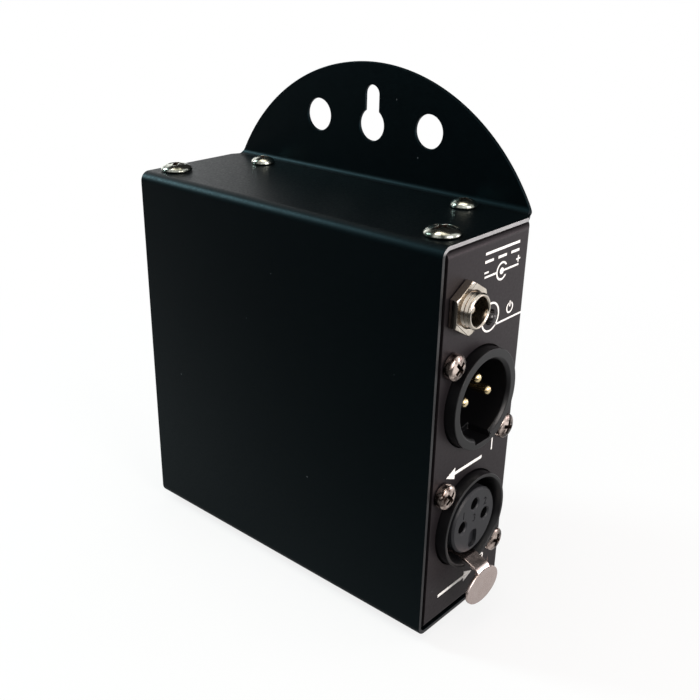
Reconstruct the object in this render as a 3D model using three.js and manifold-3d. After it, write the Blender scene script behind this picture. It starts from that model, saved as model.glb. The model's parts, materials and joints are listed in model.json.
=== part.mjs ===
// A small lighting-data splitter: a folded steel box with a wall hanger, a pin socket for the
// signal in, three latching sockets for the signal out, and a low-voltage inlet with its lamp.
// Millimetres, +Z up. The broad front faces -Y, the inlet end faces +X and the hanger is at the back.

import * as THREE from 'three';
import { mergeVertices } from 'three/addons/utils/BufferGeometryUtils.js';
import Module from 'manifold-3d';

const wasm = await Module();
wasm.setup();

// Clearances and the overrun of cutting tools
const seatGap = 0.2;
const fitGap = 0.3;
const overrun = 1;

// Folded cover: underside, front, top and hanger in one sheet
const boxWidth = 95;
const coverThickness = 1;
const coverBendRadius = 1.5;
const hangerSetback = 2.1;
const hangerRise = 28;
const hangerEndInset = 1.4;
const hangerCornerLength = 3.9;
const hangerHoleRadius = 4;
const hangerHoleOffset = 17.3;
const hangerHoleRise = 13.9;
const keyholeRadius = 3.9;
const keyholeRise = 13.4;
const keyholeSlotRadius = 2.2;
const keyholeSlotTravel = 7.2;

// Chassis: two end panels and the back in one sheet, with screw flanges and tabs
const chassisThickness = 1;
const chassisBendRadius = 0.8;
const endPanelInset = 0;
const chassisEdgeGap = 1;
const endFlangeWidth = 9.3;
const backTabWidth = 10;
const backTabDepth = 8.5;
const bendRelief = 0.6;

// Cover screws: the pair near the front is larger than the pair near the back
const frontScrewRadius = 1.9;
const frontScrewHeadRadius = 4;
const frontScrewInset = 5.6;
const frontScrewSetback = 7.4;
const backScrewRadius = 1.4;
const backScrewHeadRadius = 3.1;
const backScrewInset = 15.3;
const backScrewSetback = 28.9;
const coverScrewHeadHeight = 1.8;
const coverScrewRimShare = 0.14;
const coverScrewLength = 6.5;

// Screw heads in general
const recessReachShare = 0.6;
const recessWidthShare = 0.3;
const recessDepthShare = 0.55;

// Connectors on both end panels, and the room round them that sets how deep and tall the box is
const connectorFrontGap = 2;
const connectorBackGap = 2.4;
const connectorFoot = 12.5;
const connectorGap = 4.7;
const collarProud = 2.6;
const collarMargin = 1.6;
const flangeThickness = 3;
const flangeCornerRadius = 3;
const housingInset = 1.5;
const housingDepth = 17;
const housingCornerRadius = 2;
const connectorScrewInset = 2.5;
const connectorScrewRadius = 1.3;
const connectorScrewHeadRadius = 3;
const connectorScrewHeadHeight = 2.4;
const connectorScrewRimShare = 0.6;
const connectorScrewLength = 6;

// Pins and contacts stand on one circle, one at the top and one on each side
const contactCircleRadius = 4.5;
const pinRadius = 1.2;
const pinTipProud = 0.7;
const pinShoulderDepth = 15;
const pinCrownLength = 1;
const tailRadius = 0.6;
const tailProud = 1.2;

// Pin socket cup
const cupWall = 2.7;
const cupDepth = 12.5;
const cupLeadIn = 0.7;
const cupNotchWidth = 5.6;
const cupNotchDepth = 1.2;
const cupNotchLength = 6;

// Contact socket, from its contacts outwards: insert, groove, wall, funnel
const contactWall = 0.9;
const insertStep = 1.4;
const insertProud = 2.2;
const insertChamfer = 0.5;
const insertDepth = 14;
const grooveWidth = 1.4;
const grooveWall = 2.1;
const grooveDepth = 8;
const lipWidth = 0.8;
const funnelDepth = 2.2;
const contactMouthRadius = 1.45;
const contactMouthLength = 2.6;
const sleeveRadius = 1.6;
const sleeveWall = 0.35;
const sleeveFrontDepth = 1;
const sleeveBoreLength = 8;

// Push latch: oval tab, neck, hook and trunnions
const latchThickness = 0.8;
const latchWidth = 4.8;
const latchPivotDepth = 10;
const latchBendRadius = 0.9;
const latchReach = 6.3;
const latchNeckProud = 2;
const tabWidth = 12.7;
const tabHeight = 9;
const tabShoulderDrop = 1.7;
const tabMiddleDrop = 4.7;
const hookDepth = 3.4;
const hookLength = 2.2;
const hookFlat = 0.7;
const hookHeight = 0.9;
const hookWidth = 4;
const barrelRadius = 1.2;
const trunnionRadius = 0.7;
const trunnionReach = 1.5;
const slotFootroom = 1.5;
const slotHeadroom = 0.7;

// Leaf spring under the latch
const springThickness = 0.3;
const springWidth = 4;
const springRearDepth = 8.4;
const springKneeDepth = 5.6;
const springTipDepth = 2.4;
const springBendRadius = 0.5;

// Low-voltage inlet
const inletFrontGap = 2;
const inletGap = 4.4;
const inletHeadroom = 8.9;
const inletRadius = 4;
const inletProud = 4.3;
const inletBoreRadius = 3.1;
const inletLeadIn = 0.4;
const inletBoreDepth = 9;
const inletFlangeRadius = 5.5;
const inletFlangeThickness = 1.5;
const inletRearRadius = 4.6;
const inletDepth = 13;
const inletPinRadius = 1;
const inletPinRecess = 1.6;
const inletLugWidth = 2;
const inletLugThickness = 0.5;
const inletLugDrop = 3.4;
const nutAcrossFlats = 10.6;
const nutThickness = 2;
const nutChamferShare = 0.94;
const nutChamferDepthShare = 0.22;

// Power lamp
const lampOffset = 10.8;
const lampDrop = 5.3;
const lampRadius = 1.5;
const lampProud = 1.3;
const lampRimRadius = 1.9;
const lampRimThickness = 1;
const lampDepth = 5;
const lampLegSize = 0.5;
const lampLegSpacing = 2.54;

// Boards, one behind each end panel
const boardThickness = 1.6;
const boardInset = 0.5;
const boardFoot = 9;
const boardHeadroom = 7.5;

// Flat cable with a socket at each end, pushed into a header on each board
const headerLength = 20;
const headerWidth = 9;
const headerHeight = 9;
const headerWall = 1;
const socketHeight = 9.5;
const cableWidth = 12.7;
const cableThickness = 0.9;
const cableSlack = 3;

// Parts soldered on the boards
const chipLength = 9.8;
const chipWidth = 6.4;
const chipHeight = 3.4;
const chipStandoff = 0.5;
const chipLegWidth = 0.8;
const chipLegThickness = 0.3;
const chipLegPitch = 2.54;
const chipOffset = 10.3;
const chipPitch = 13;
const regulatorWidth = 10;
const regulatorHeight = 9;
const regulatorThickness = 4.5;
const regulatorTabThickness = 1.3;
const regulatorTabRise = 3.5;
const regulatorMargin = 1;
const capacitorRadius = 4;
const capacitorLength = 11;
const capacitorGrooveDepth = 0.4;
const capacitorGrooveShare = 0.16;
const capacitorMargin = 0.5;
const capacitorOffset = 5.5;

// How finely round things are faceted
const bendSegments = 3;
const arcSegments = 32;
const ringSegments = 24;
const boreSegments = 16;
const screwSegments = 12;
const smallSegments = 8;
const domeSegments = 2;
const cableSegments = 8;
const legsPerSide = 4;

// Connector sizes, from the contacts outwards
const insertStepRadius = contactCircleRadius + sleeveRadius + contactWall;
const insertRadius = insertStepRadius + insertStep;
const grooveRadius = insertRadius + grooveWidth;
const collarRadius = grooveRadius + grooveWall;
const cupRadius = collarRadius - cupWall;
const flangeSize = 2 * (collarRadius + collarMargin);
const housingWidth = flangeSize - 2 * housingInset;
const housingCrown = flangeSize / 2 - housingInset;
const connectorScrewOffset = flangeSize / 2 - connectorScrewInset;
const latchLevel = grooveRadius;
const latchMiddle = latchLevel + latchThickness / 2;
const slotHalfWidth = latchWidth / 2 + fitGap;
const sleeveRearDepth = insertDepth - fitGap;
const slotDrop = latchLevel + latchThickness + slotFootroom;
const shoulderDrop = latchMiddle + tabShoulderDrop;
const tabDrop = shoulderDrop + tabMiddleDrop;

// The two connectors and the inlet stand one above the other, and the box closes round them
const connectorSetback = coverThickness + connectorFrontGap + flangeSize / 2;
const lowerConnectorHeight = connectorFoot + flangeSize / 2;
const upperConnectorHeight = lowerConnectorHeight + flangeSize + connectorGap;
const inletSetback = coverThickness + inletFrontGap + inletFlangeRadius;
const inletHeight = upperConnectorHeight + flangeSize / 2 + inletGap + inletFlangeRadius;
const lampSetback = inletSetback + lampOffset;
const lampHeight = inletHeight - lampDrop;
const boxDepth = connectorSetback + flangeSize / 2 + connectorBackGap + chassisThickness;
const boxHeight = inletHeight + inletFlangeRadius + inletHeadroom;

// Planes and places that follow from the sizes above
const frontFace = -(boxDepth + hangerSetback) / 2;
const backFace = frontFace + boxDepth;
const hangerFace = backFace + hangerSetback;
const endFace = boxWidth / 2 - endPanelInset;
const chassisFoot = coverThickness + seatGap;
const chassisHead = boxHeight - coverThickness - seatGap;
const chassisBendReach = chassisBendRadius + chassisThickness;
const connectorLine = frontFace + connectorSetback;
const flangeFront = -(chassisThickness + seatGap);
const flangeRear = flangeFront - flangeThickness;
const housingRear = -housingDepth;
const boardFront = housingRear - seatGap;
const boardRear = boardFront - boardThickness;
const tailEnd = boardRear - tailProud;
const boardWidth = flangeSize - 2 * boardInset;
const boardHead = boxHeight - boardHeadroom;
const chipRise = upperConnectorHeight + chipOffset;
const secondChipRise = chipRise + chipPitch;
const regulatorRise = boardFoot + regulatorMargin + regulatorHeight / 2;
const capacitorRise = boardHead - capacitorMargin - capacitorRadius;

const contactPlaces = [
  new THREE.Vector2(0, contactCircleRadius),
  new THREE.Vector2(-contactCircleRadius, 0),
  new THREE.Vector2(contactCircleRadius, 0),
];
const connectorScrewPlaces = [
  new THREE.Vector2(-connectorScrewOffset, connectorScrewOffset),
  new THREE.Vector2(connectorScrewOffset, -connectorScrewOffset),
];

// Finishes
const finish = (color, roughness, metalness) =>
  new THREE.MeshStandardMaterial({ color, roughness, metalness, flatShading: true });
const coverPaint = finish('#0c1517', 0.5, 0.2);
const panelPaint = finish('#2e2c2f', 0.55, 0.2);
const nickel = finish('#c9c1b6', 0.28, 1);
const latchNickel = finish('#b9a6a3', 0.35, 1);
const springSteel = finish('#8d9094', 0.35, 1);
const gold = finish('#d8a548', 0.3, 1);
const blackPlastic = finish('#161617', 0.5, 0);
const greyPlastic = finish('#3a3b3d', 0.55, 0);
const clearRed = finish('#b8322c', 0.2, 0);
const boardGreen = finish('#1d5a37', 0.5, 0);
const chipEpoxy = finish('#1b1c1e', 0.6, 0);
const sleeveBlue = finish('#22395f', 0.4, 0);
const cableGrey = finish('#9a9a98', 0.6, 0);

// Solid geometry: closed meshes go in and out of the boolean library

function solid(geometry) {
  const bare = geometry.clone();
  bare.deleteAttribute('normal');
  bare.deleteAttribute('uv');
  const merged = mergeVertices(bare);
  const index = merged.index.array;
  const kept = [];
  for (let i = 0; i < index.length; i += 3) {
    const [a, b, c] = [index[i], index[i + 1], index[i + 2]];
    if (a !== b && b !== c && c !== a) kept.push(a, b, c);
  }
  return new wasm.Manifold(new wasm.Mesh({
    numProp: 3,
    vertProperties: new Float32Array(merged.attributes.position.array),
    triVerts: new Uint32Array(kept),
  }));
}

function join(...solids) {
  return solids.reduce((whole, piece) => whole.add(piece));
}

function cut(body, ...tools) {
  return tools.reduce((rest, tool) => rest.subtract(tool), body);
}

function piece(name, body, material) {
  const { vertProperties, triVerts } = body.getMesh();
  const geometry = new THREE.BufferGeometry();
  geometry.setAttribute('position', new THREE.BufferAttribute(new Float32Array(vertProperties), 3));
  geometry.setIndex(new THREE.BufferAttribute(new Uint32Array(triVerts), 1));
  geometry.computeVertexNormals();
  const mesh = new THREE.Mesh(geometry, material);
  mesh.name = name;
  return mesh;
}

// An outline is extruded along x (drawn in y, z), along y (drawn in x, z) or along z (drawn in x, y)
const unitX = new THREE.Vector3(1, 0, 0);
const unitY = new THREE.Vector3(0, 1, 0);
const unitZ = new THREE.Vector3(0, 0, 1);
const extrudeBases = {
  x: new THREE.Matrix4().makeBasis(unitY, unitZ, unitX),
  y: new THREE.Matrix4().makeBasis(unitX, unitZ, unitY.clone().negate()),
  z: new THREE.Matrix4(),
};

function prism(outline, axis, from, to, curveSegments = ringSegments) {
  const geometry = new THREE.ExtrudeGeometry(outline, {
    depth: to - from,
    bevelEnabled: false,
    curveSegments,
  });
  geometry.applyMatrix4(extrudeBases[axis]);
  if (axis === 'x') geometry.translate(from, 0, 0);
  if (axis === 'y') geometry.translate(0, to, 0);
  if (axis === 'z') geometry.translate(0, 0, from);
  return solid(geometry);
}

function block(low, high) {
  const size = high.clone().sub(low);
  const middle = high.clone().add(low).divideScalar(2);
  const geometry = new THREE.BoxGeometry(size.x, size.y, size.z);
  return solid(geometry.translate(middle.x, middle.y, middle.z));
}

// A rod along x, y or z: from and to are places on that axis, a and b the place across it
function rod(axis, radius, from, to, a, b, segments) {
  const geometry = new THREE.CylinderGeometry(radius, radius, to - from, segments);
  const middle = (from + to) / 2;
  if (axis === 'x') geometry.rotateZ(-Math.PI / 2).translate(middle, a, b);
  if (axis === 'y') geometry.translate(a, middle, b);
  if (axis === 'z') geometry.rotateX(Math.PI / 2).translate(a, b, middle);
  return solid(geometry);
}

// A turned form about x, from pairs of radius and place along x, rear end first
function turned(profile, segments) {
  const points = profile.map(([radius, along]) => new THREE.Vector2(radius, along));
  return solid(new THREE.LatheGeometry(points, segments).rotateZ(-Math.PI / 2));
}

function roundedRectangle(left, low, right, high, radius) {
  const outline = new THREE.Shape();
  outline.absarc(right - radius, low + radius, radius, -Math.PI / 2, 0, false);
  outline.absarc(right - radius, high - radius, radius, 0, Math.PI / 2, false);
  outline.absarc(left + radius, high - radius, radius, Math.PI / 2, Math.PI, false);
  outline.absarc(left + radius, low + radius, radius, Math.PI, Math.PI * 3 / 2, false);
  return outline;
}

// The line that runs beside a path, rounded at its corners
function besidePath(path, offset, middleRadius) {
  const line = [];
  path.forEach((corner, i) => {
    const before = path[i - 1];
    const after = path[i + 1];
    const arriving = (before ? corner.clone().sub(before) : after.clone().sub(corner)).normalize();
    const left = new THREE.Vector2(-arriving.y, arriving.x);
    if (!before || !after) {
      line.push(corner.clone().addScaledVector(left, offset));
      return;
    }
    const leaving = after.clone().sub(corner).normalize();
    const turn = Math.atan2(arriving.cross(leaving), arriving.dot(leaving));
    const side = Math.sign(turn);
    const start = corner.clone().addScaledVector(arriving, -middleRadius * Math.tan(Math.abs(turn) / 2));
    const centre = start.clone().addScaledVector(left, side * middleRadius);
    const spoke = left.clone().multiplyScalar(-side * (middleRadius - side * offset));
    for (let step = 0; step <= bendSegments; step += 1) {
      const spot = spoke.clone().rotateAround(new THREE.Vector2(), turn * step / bendSegments);
      line.push(spot.add(centre));
    }
  });
  return line;
}

// The outline of a folded strip whose middle follows the path
function foldedStrip(path, thickness, insideRadius) {
  const corners = path.map(([a, b]) => new THREE.Vector2(a, b));
  const middleRadius = insideRadius + thickness / 2;
  const left = besidePath(corners, thickness / 2, middleRadius);
  const right = besidePath(corners, -thickness / 2, middleRadius);
  return new THREE.Shape([...right, ...left.reverse()]);
}

// The outline of a strip that follows a smooth line of points
function smoothStrip(points, thickness) {
  const [left, right] = [1, -1].map((side) => points.map((point, i) => {
    const before = points[Math.max(i - 1, 0)];
    const after = points[Math.min(i + 1, points.length - 1)];
    const along = after.clone().sub(before).normalize();
    const across = new THREE.Vector2(-along.y, along.x);
    return point.clone().addScaledVector(across, side * thickness / 2);
  }));
  return new THREE.Shape([...right, ...left.reverse()]);
}

// Screw with a domed head and a cross recess; it points along +x, its head resting on x = 0
function crossScrew(shankRadius, length, headRadius, headHeight, rimShare) {
  const rim = headHeight * rimShare;
  const dome = [];
  for (let step = 0; step < domeSegments; step += 1) {
    const angle = Math.PI / 2 * step / domeSegments;
    dome.push([headRadius * Math.cos(angle), rim + (headHeight - rim) * Math.sin(angle)]);
  }
  const body = turned([
    [0, -length], [shankRadius, -length], [shankRadius, 0], [headRadius, 0], ...dome, [0, headHeight],
  ], screwSegments);
  const reach = headRadius * recessReachShare;
  const halfWidth = headRadius * recessWidthShare / 2;
  const floor = headHeight * (1 - recessDepthShare);
  const cross = new THREE.Shape();
  for (let arm = 0; arm < 4; arm += 1) {
    const corners = [[reach, -halfWidth], [reach, halfWidth], [halfWidth, halfWidth]];
    for (const [a, b] of corners) {
      const corner = new THREE.Vector2(a, b).rotateAround(new THREE.Vector2(), Math.PI / 2 * arm);
      if (cross.curves.length === 0 && arm === 0 && b < 0) cross.moveTo(corner.x, corner.y);
      else cross.lineTo(corner.x, corner.y);
    }
  }
  return cut(body, prism(cross, 'x', floor, headHeight + overrun));
}

// Cover

function hangerTrim() {
  const halfChord = boxWidth / 2 - hangerEndInset;
  const radius = (halfChord ** 2 + hangerRise ** 2) / (2 * hangerRise);
  const centre = boxHeight + hangerRise - radius;
  const spring = Math.atan2(boxHeight - centre, halfChord);
  const outline = new THREE.Shape();
  outline.moveTo(-boxWidth / 2 - overrun, -overrun);
  outline.lineTo(boxWidth / 2 + overrun, -overrun);
  outline.lineTo(boxWidth / 2 + overrun, boxHeight);
  outline.absarc(0, centre, radius, spring, Math.PI - spring, false);
  outline.lineTo(-boxWidth / 2 - overrun, boxHeight);
  return prism(outline, 'y', frontFace - overrun, hangerFace + overrun, arcSegments);
}

// The blank narrows to the foot of the hanger just before the bend
function hangerCorner(side) {
  const foot = boxWidth / 2 - hangerEndInset;
  const bendLine = hangerFace - coverThickness;
  const slant = hangerCornerLength - coverThickness;
  const outline = new THREE.Shape();
  outline.moveTo(side * foot, hangerFace + overrun);
  outline.lineTo(side * foot, bendLine);
  outline.lineTo(side * (foot + 2 * hangerEndInset), bendLine - 2 * slant);
  outline.lineTo(side * (foot + 2 * hangerEndInset), hangerFace + overrun);
  return prism(outline, 'z', boxHeight - coverThickness - overrun, boxHeight + hangerRise);
}

function keyhole() {
  const low = boxHeight + keyholeRise;
  const high = low + keyholeSlotTravel;
  const meeting = Math.acos(keyholeSlotRadius / keyholeRadius);
  const outline = new THREE.Shape();
  outline.absarc(0, high, keyholeSlotRadius, 0, Math.PI, false);
  outline.absarc(0, low, keyholeRadius, Math.PI - meeting, Math.PI * 2 + meeting, false);
  return outline;
}

function coverScrewPlaces() {
  const places = [];
  for (const side of [-1, 1]) {
    const hand = side < 0 ? 'left' : 'right';
    places.push({
      name: `front_${hand}`,
      x: side * (boxWidth / 2 - frontScrewInset),
      y: frontFace + frontScrewSetback,
      radius: frontScrewRadius,
      headRadius: frontScrewHeadRadius,
    });
    places.push({
      name: `back_${hand}`,
      x: side * (boxWidth / 2 - backScrewInset),
      y: frontFace + backScrewSetback,
      radius: backScrewRadius,
      headRadius: backScrewHeadRadius,
    });
  }
  return places;
}

function coverBody() {
  const half = coverThickness / 2;
  const profile = foldedStrip([
    [backFace, half],
    [frontFace + half, half],
    [frontFace + half, boxHeight - half],
    [hangerFace - half, boxHeight - half],
    [hangerFace - half, boxHeight + hangerRise + overrun],
  ], coverThickness, coverBendRadius);
  let body = prism(profile, 'x', -boxWidth / 2, boxWidth / 2).intersect(hangerTrim());
  const hangerFront = hangerFace - coverThickness;
  for (const side of [-1, 1]) {
    const hole = rod('y', hangerHoleRadius, hangerFront - overrun, hangerFace + overrun,
      side * hangerHoleOffset, boxHeight + hangerHoleRise, ringSegments);
    body = cut(body, hole);
  }
  body = cut(body, hangerCorner(-1), hangerCorner(1),
    prism(keyhole(), 'y', hangerFront - overrun, hangerFace + overrun, boreSegments));
  for (const { x, y, radius } of coverScrewPlaces()) {
    body = cut(body,
      rod('z', radius + fitGap, -overrun, coverThickness + overrun, x, y, smallSegments),
      rod('z', radius + fitGap, boxHeight - coverThickness - overrun, boxHeight + overrun, x, y,
        smallSegments));
  }
  return body;
}

// Chassis

// The back and the end panels run to full height, rounded there like the flange bends, which closes
// the corners; each flange stops short of the back by the relief
function chassisShell() {
  const half = chassisThickness / 2;
  const side = endFace - half;
  const edge = frontFace + coverThickness + chassisEdgeGap;
  const flangePath = [
    [endFace - endFlangeWidth, chassisHead - half],
    [side, chassisHead - half],
    [side, chassisFoot + half],
    [endFace - endFlangeWidth, chassisFoot + half],
  ];
  const corners = flangePath.map(([a, b]) => new THREE.Vector2(a, b));
  const right = besidePath(corners, half, chassisBendRadius + half);
  const left = right.map((point) => new THREE.Vector2(-point.x, point.y)).reverse();
  const rounding = prism(new THREE.Shape([...right, ...left]), 'y', edge - overrun, backFace + overrun);
  const wrap = foldedStrip([
    [-side, edge],
    [-side, backFace - half],
    [side, backFace - half],
    [side, edge],
  ], chassisThickness, chassisBendRadius);
  let body = prism(wrap, 'z', chassisFoot, chassisHead).intersect(rounding);
  for (const hand of [-1, 1]) {
    const path = flangePath.map(([a, b]) => [hand * a, b]);
    const flange = foldedStrip(path, chassisThickness, chassisBendRadius);
    body = join(body, prism(flange, 'y', edge, backFace - chassisBendReach - bendRelief));
  }
  return body;
}

function addBackTabs(shell) {
  const half = chassisThickness / 2;
  const tabPath = [
    [backFace - backTabDepth, chassisHead - half],
    [backFace - half, chassisHead - half],
    [backFace - half, chassisHead - chassisBendReach - overrun],
  ];
  const upper = foldedStrip(tabPath, chassisThickness, chassisBendRadius);
  const mirrored = tabPath.map(([y, z]) => [y, chassisFoot + chassisHead - z]);
  const lower = foldedStrip(mirrored, chassisThickness, chassisBendRadius);
  let body = shell;
  for (const hand of [-1, 1]) {
    const middle = hand * (boxWidth / 2 - backScrewInset);
    const [left, right] = [middle - backTabWidth / 2, middle + backTabWidth / 2];
    for (const [from, to] of [
      [chassisFoot - overrun, chassisFoot + chassisBendReach],
      [chassisHead - chassisBendReach, chassisHead + overrun],
    ]) {
      body = cut(body, block(
        new THREE.Vector3(left - bendRelief, backFace - chassisThickness - overrun, from),
        new THREE.Vector3(right + bendRelief, backFace + overrun, to)));
    }
    body = join(body, prism(upper, 'x', left, right), prism(lower, 'x', left, right));
  }
  return body;
}

function chassisBody() {
  let body = addBackTabs(chassisShell());
  const within = endFace - chassisThickness - overrun;
  for (const hand of [-1, 1]) {
    const [from, to] = hand < 0 ? [-endFace - overrun, -within] : [within, endFace + overrun];
    for (const height of [lowerConnectorHeight, upperConnectorHeight]) {
      body = cut(body, rod('x', collarRadius + fitGap, from, to, connectorLine, height, ringSegments));
      for (const place of connectorScrewPlaces) {
        body = cut(body, rod('x', connectorScrewRadius + fitGap, from, to,
          connectorLine + hand * place.x, height + place.y, smallSegments));
      }
    }
  }
  body = cut(body,
    rod('x', inletRadius + fitGap, within, endFace + overrun, frontFace + inletSetback, inletHeight,
      boreSegments),
    rod('x', lampRadius + fitGap, within, endFace + overrun, frontFace + lampSetback, lampHeight,
      boreSegments));
  for (const { x, y, radius } of coverScrewPlaces()) {
    const bore = radius + fitGap;
    body = cut(body,
      rod('z', bore, chassisFoot - overrun, chassisFoot + chassisThickness + overrun, x, y, smallSegments),
      rod('z', bore, chassisHead - chassisThickness - overrun, chassisHead + overrun, x, y,
        smallSegments));
  }
  return body;
}

// Connectors: x = 0 is the outer face of the end panel, +x points out of it, z is up

function housingBlank() {
  const half = flangeSize / 2;
  const flange = roundedRectangle(-half, -half, half, half, flangeCornerRadius);
  const rear = roundedRectangle(-housingWidth / 2, -half, housingWidth / 2, housingCrown,
    housingCornerRadius);
  const blank = join(
    prism(flange, 'x', flangeRear, flangeFront, bendSegments),
    prism(rear, 'x', housingRear, flangeRear + overrun, bendSegments),
    rod('x', collarRadius, flangeRear, collarProud, 0, 0, ringSegments));
  const holes = connectorScrewPlaces.map((place) =>
    rod('x', connectorScrewRadius + fitGap, housingRear - overrun, flangeFront + overrun,
      place.x, place.y, smallSegments));
  return cut(blank, ...holes);
}

function pinHousing() {
  const cup = turned([
    [0, -cupDepth],
    [cupRadius, -cupDepth],
    [cupRadius, collarProud - cupLeadIn],
    [cupRadius + cupLeadIn, collarProud],
    [cupRadius + cupLeadIn, collarProud + overrun],
    [0, collarProud + overrun],
  ], ringSegments);
  const notch = block(
    new THREE.Vector3(collarProud - cupNotchLength, -cupNotchWidth / 2, -cupRadius - cupNotchDepth),
    new THREE.Vector3(collarProud + overrun, cupNotchWidth / 2, -cupRadius + overrun));
  const bores = contactPlaces.map((place) =>
    rod('x', pinRadius + fitGap, housingRear - overrun, overrun - cupDepth, place.x, place.y,
      smallSegments));
  return cut(housingBlank(), cup, notch, ...bores);
}

function pin() {
  const shoulder = -pinShoulderDepth;
  const tip = pinTipProud;
  const crown = [];
  for (let step = 0; step < domeSegments; step += 1) {
    const angle = Math.PI / 2 * step / domeSegments;
    crown.push([pinRadius * Math.cos(angle), tip - pinCrownLength * (1 - Math.sin(angle))]);
  }
  return turned([
    [0, tailEnd], [tailRadius, tailEnd], [tailRadius, shoulder], [pinRadius, shoulder], ...crown, [0, tip],
  ], smallSegments);
}

function contactHousing() {
  const funnelRadius = collarRadius - lipWidth;
  const seatRadius = insertStepRadius + fitGap;
  const cavity = turned([
    [0, -insertDepth - fitGap],
    [seatRadius, -insertDepth - fitGap],
    [seatRadius, -grooveDepth],
    [grooveRadius, -grooveDepth],
    [grooveRadius, collarProud - funnelDepth],
    [funnelRadius, collarProud],
    [funnelRadius, collarProud + overrun],
    [0, collarProud + overrun],
  ], ringSegments);
  const slotRear = -latchPivotDepth - barrelRadius - fitGap;
  const slotTop = slotHeadroom - latchLevel;
  const slot = block(
    new THREE.Vector3(slotRear, -slotHalfWidth, -slotDrop),
    new THREE.Vector3(collarProud + overrun, slotHalfWidth, slotTop));
  const mouth = block(
    new THREE.Vector3(flangeFront, -slotHalfWidth, -collarRadius - overrun),
    new THREE.Vector3(collarProud + overrun, slotHalfWidth, slotTop));
  const barrelRoom = block(
    new THREE.Vector3(slotRear, -slotHalfWidth, -slotDrop),
    new THREE.Vector3(barrelRadius + fitGap - latchPivotDepth, slotHalfWidth,
      barrelRadius + fitGap - latchMiddle));
  const reach = latchWidth / 2 + trunnionReach + fitGap;
  const pivotBore = rod('y', trunnionRadius + fitGap, -reach, reach, -latchPivotDepth, -latchMiddle,
    smallSegments);
  const tailBores = contactPlaces.map((place) =>
    rod('x', tailRadius + fitGap, housingRear - overrun, overrun - insertDepth, place.x, place.y,
      smallSegments));
  return cut(housingBlank(), cavity, slot, mouth, barrelRoom, pivotBore, ...tailBores);
}

function contactInsert() {
  const step = seatGap - grooveDepth;
  const plug = turned([
    [0, -insertDepth],
    [insertStepRadius, -insertDepth],
    [insertStepRadius, step],
    [insertRadius, step],
    [insertRadius, insertProud - insertChamfer],
    [insertRadius - insertChamfer, insertProud],
    [0, insertProud],
  ], ringSegments);
  const mouthEnd = insertProud - contactMouthLength;
  const bores = contactPlaces.flatMap((place) => [
    rod('x', contactMouthRadius, mouthEnd - overrun, insertProud + overrun, place.x, place.y,
      smallSegments),
    rod('x', sleeveRadius + fitGap, -insertDepth - overrun, mouthEnd, place.x, place.y, smallSegments),
  ]);
  return cut(plug, ...bores);
}

function contactSleeve() {
  const bore = sleeveRadius - sleeveWall;
  return turned([
    [0, tailEnd],
    [tailRadius, tailEnd],
    [tailRadius, -sleeveRearDepth],
    [sleeveRadius, -sleeveRearDepth],
    [sleeveRadius, -sleeveFrontDepth],
    [bore, -sleeveFrontDepth],
    [bore, -sleeveFrontDepth - sleeveBoreLength],
    [0, -sleeveFrontDepth - sleeveBoreLength],
  ], smallSegments);
}

function latchBody() {
  const tabMiddle = latchReach - latchThickness / 2;
  const strip = foldedStrip([
    [-latchPivotDepth, -latchMiddle],
    [latchNeckProud, -latchMiddle],
    [tabMiddle, -shoulderDrop],
    [tabMiddle, -tabDrop],
  ], latchThickness, latchBendRadius);
  const oval = new THREE.Shape();
  oval.absellipse(0, -tabDrop, tabWidth / 2, tabHeight / 2, 0, Math.PI * 2);
  const hookRear = -hookDepth - hookLength;
  const hookTop = -latchLevel + hookHeight;
  const hook = new THREE.Shape();
  hook.moveTo(hookRear, -latchMiddle);
  hook.lineTo(-hookDepth, -latchMiddle);
  hook.lineTo(-hookDepth, -latchLevel);
  hook.lineTo(hookRear + hookFlat, hookTop);
  hook.lineTo(hookRear, hookTop);
  const trunnion = latchWidth / 2 + trunnionReach;
  return join(
    prism(strip, 'y', -latchWidth / 2, latchWidth / 2),
    prism(oval, 'x', latchReach - latchThickness, latchReach, ringSegments),
    prism(hook, 'y', -hookWidth / 2, hookWidth / 2),
    rod('y', barrelRadius, -latchWidth / 2, latchWidth / 2, -latchPivotDepth, -latchMiddle,
      smallSegments),
    rod('y', trunnionRadius, -trunnion, trunnion, -latchPivotDepth, -latchMiddle, smallSegments));
}

function latchSpring() {
  const low = seatGap + springThickness / 2 - slotDrop;
  const high = -latchLevel - latchThickness - seatGap - springThickness / 2;
  const leaf = foldedStrip([
    [-springRearDepth, low],
    [-springKneeDepth, low],
    [-springTipDepth, high],
  ], springThickness, springBendRadius);
  return prism(leaf, 'y', -springWidth / 2, springWidth / 2);
}

function placed(mesh, x, y, z) {
  mesh.position.set(x, y, z);
  return mesh;
}

function connectorScrews(name) {
  return connectorScrewPlaces.map((place, i) => {
    const screw = crossScrew(connectorScrewRadius, connectorScrewLength, connectorScrewHeadRadius,
      connectorScrewHeadHeight, connectorScrewRimShare);
    return placed(piece(`${name}_screw_${i + 1}`, screw, nickel), seatGap, place.x, place.y);
  });
}

function pinConnector(name) {
  const group = new THREE.Group();
  group.add(piece(`${name}_housing`, pinHousing(), blackPlastic));
  contactPlaces.forEach((place, i) => {
    group.add(placed(piece(`${name}_pin_${i + 1}`, pin(), gold), 0, place.x, place.y));
  });
  group.add(...connectorScrews(name));
  return group;
}

function contactConnector(name) {
  const group = new THREE.Group();
  group.add(piece(`${name}_housing`, contactHousing(), blackPlastic));
  group.add(piece(`${name}_insert`, contactInsert(), greyPlastic));
  group.add(piece(`${name}_latch`, latchBody(), latchNickel));
  group.add(piece(`${name}_latch_spring`, latchSpring(), springSteel));
  contactPlaces.forEach((place, i) => {
    group.add(placed(piece(`${name}_contact_${i + 1}`, contactSleeve(), gold), 0, place.x, place.y));
  });
  group.add(...connectorScrews(name));
  return group;
}

// Low-voltage inlet and lamp, in the same panel frame

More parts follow.
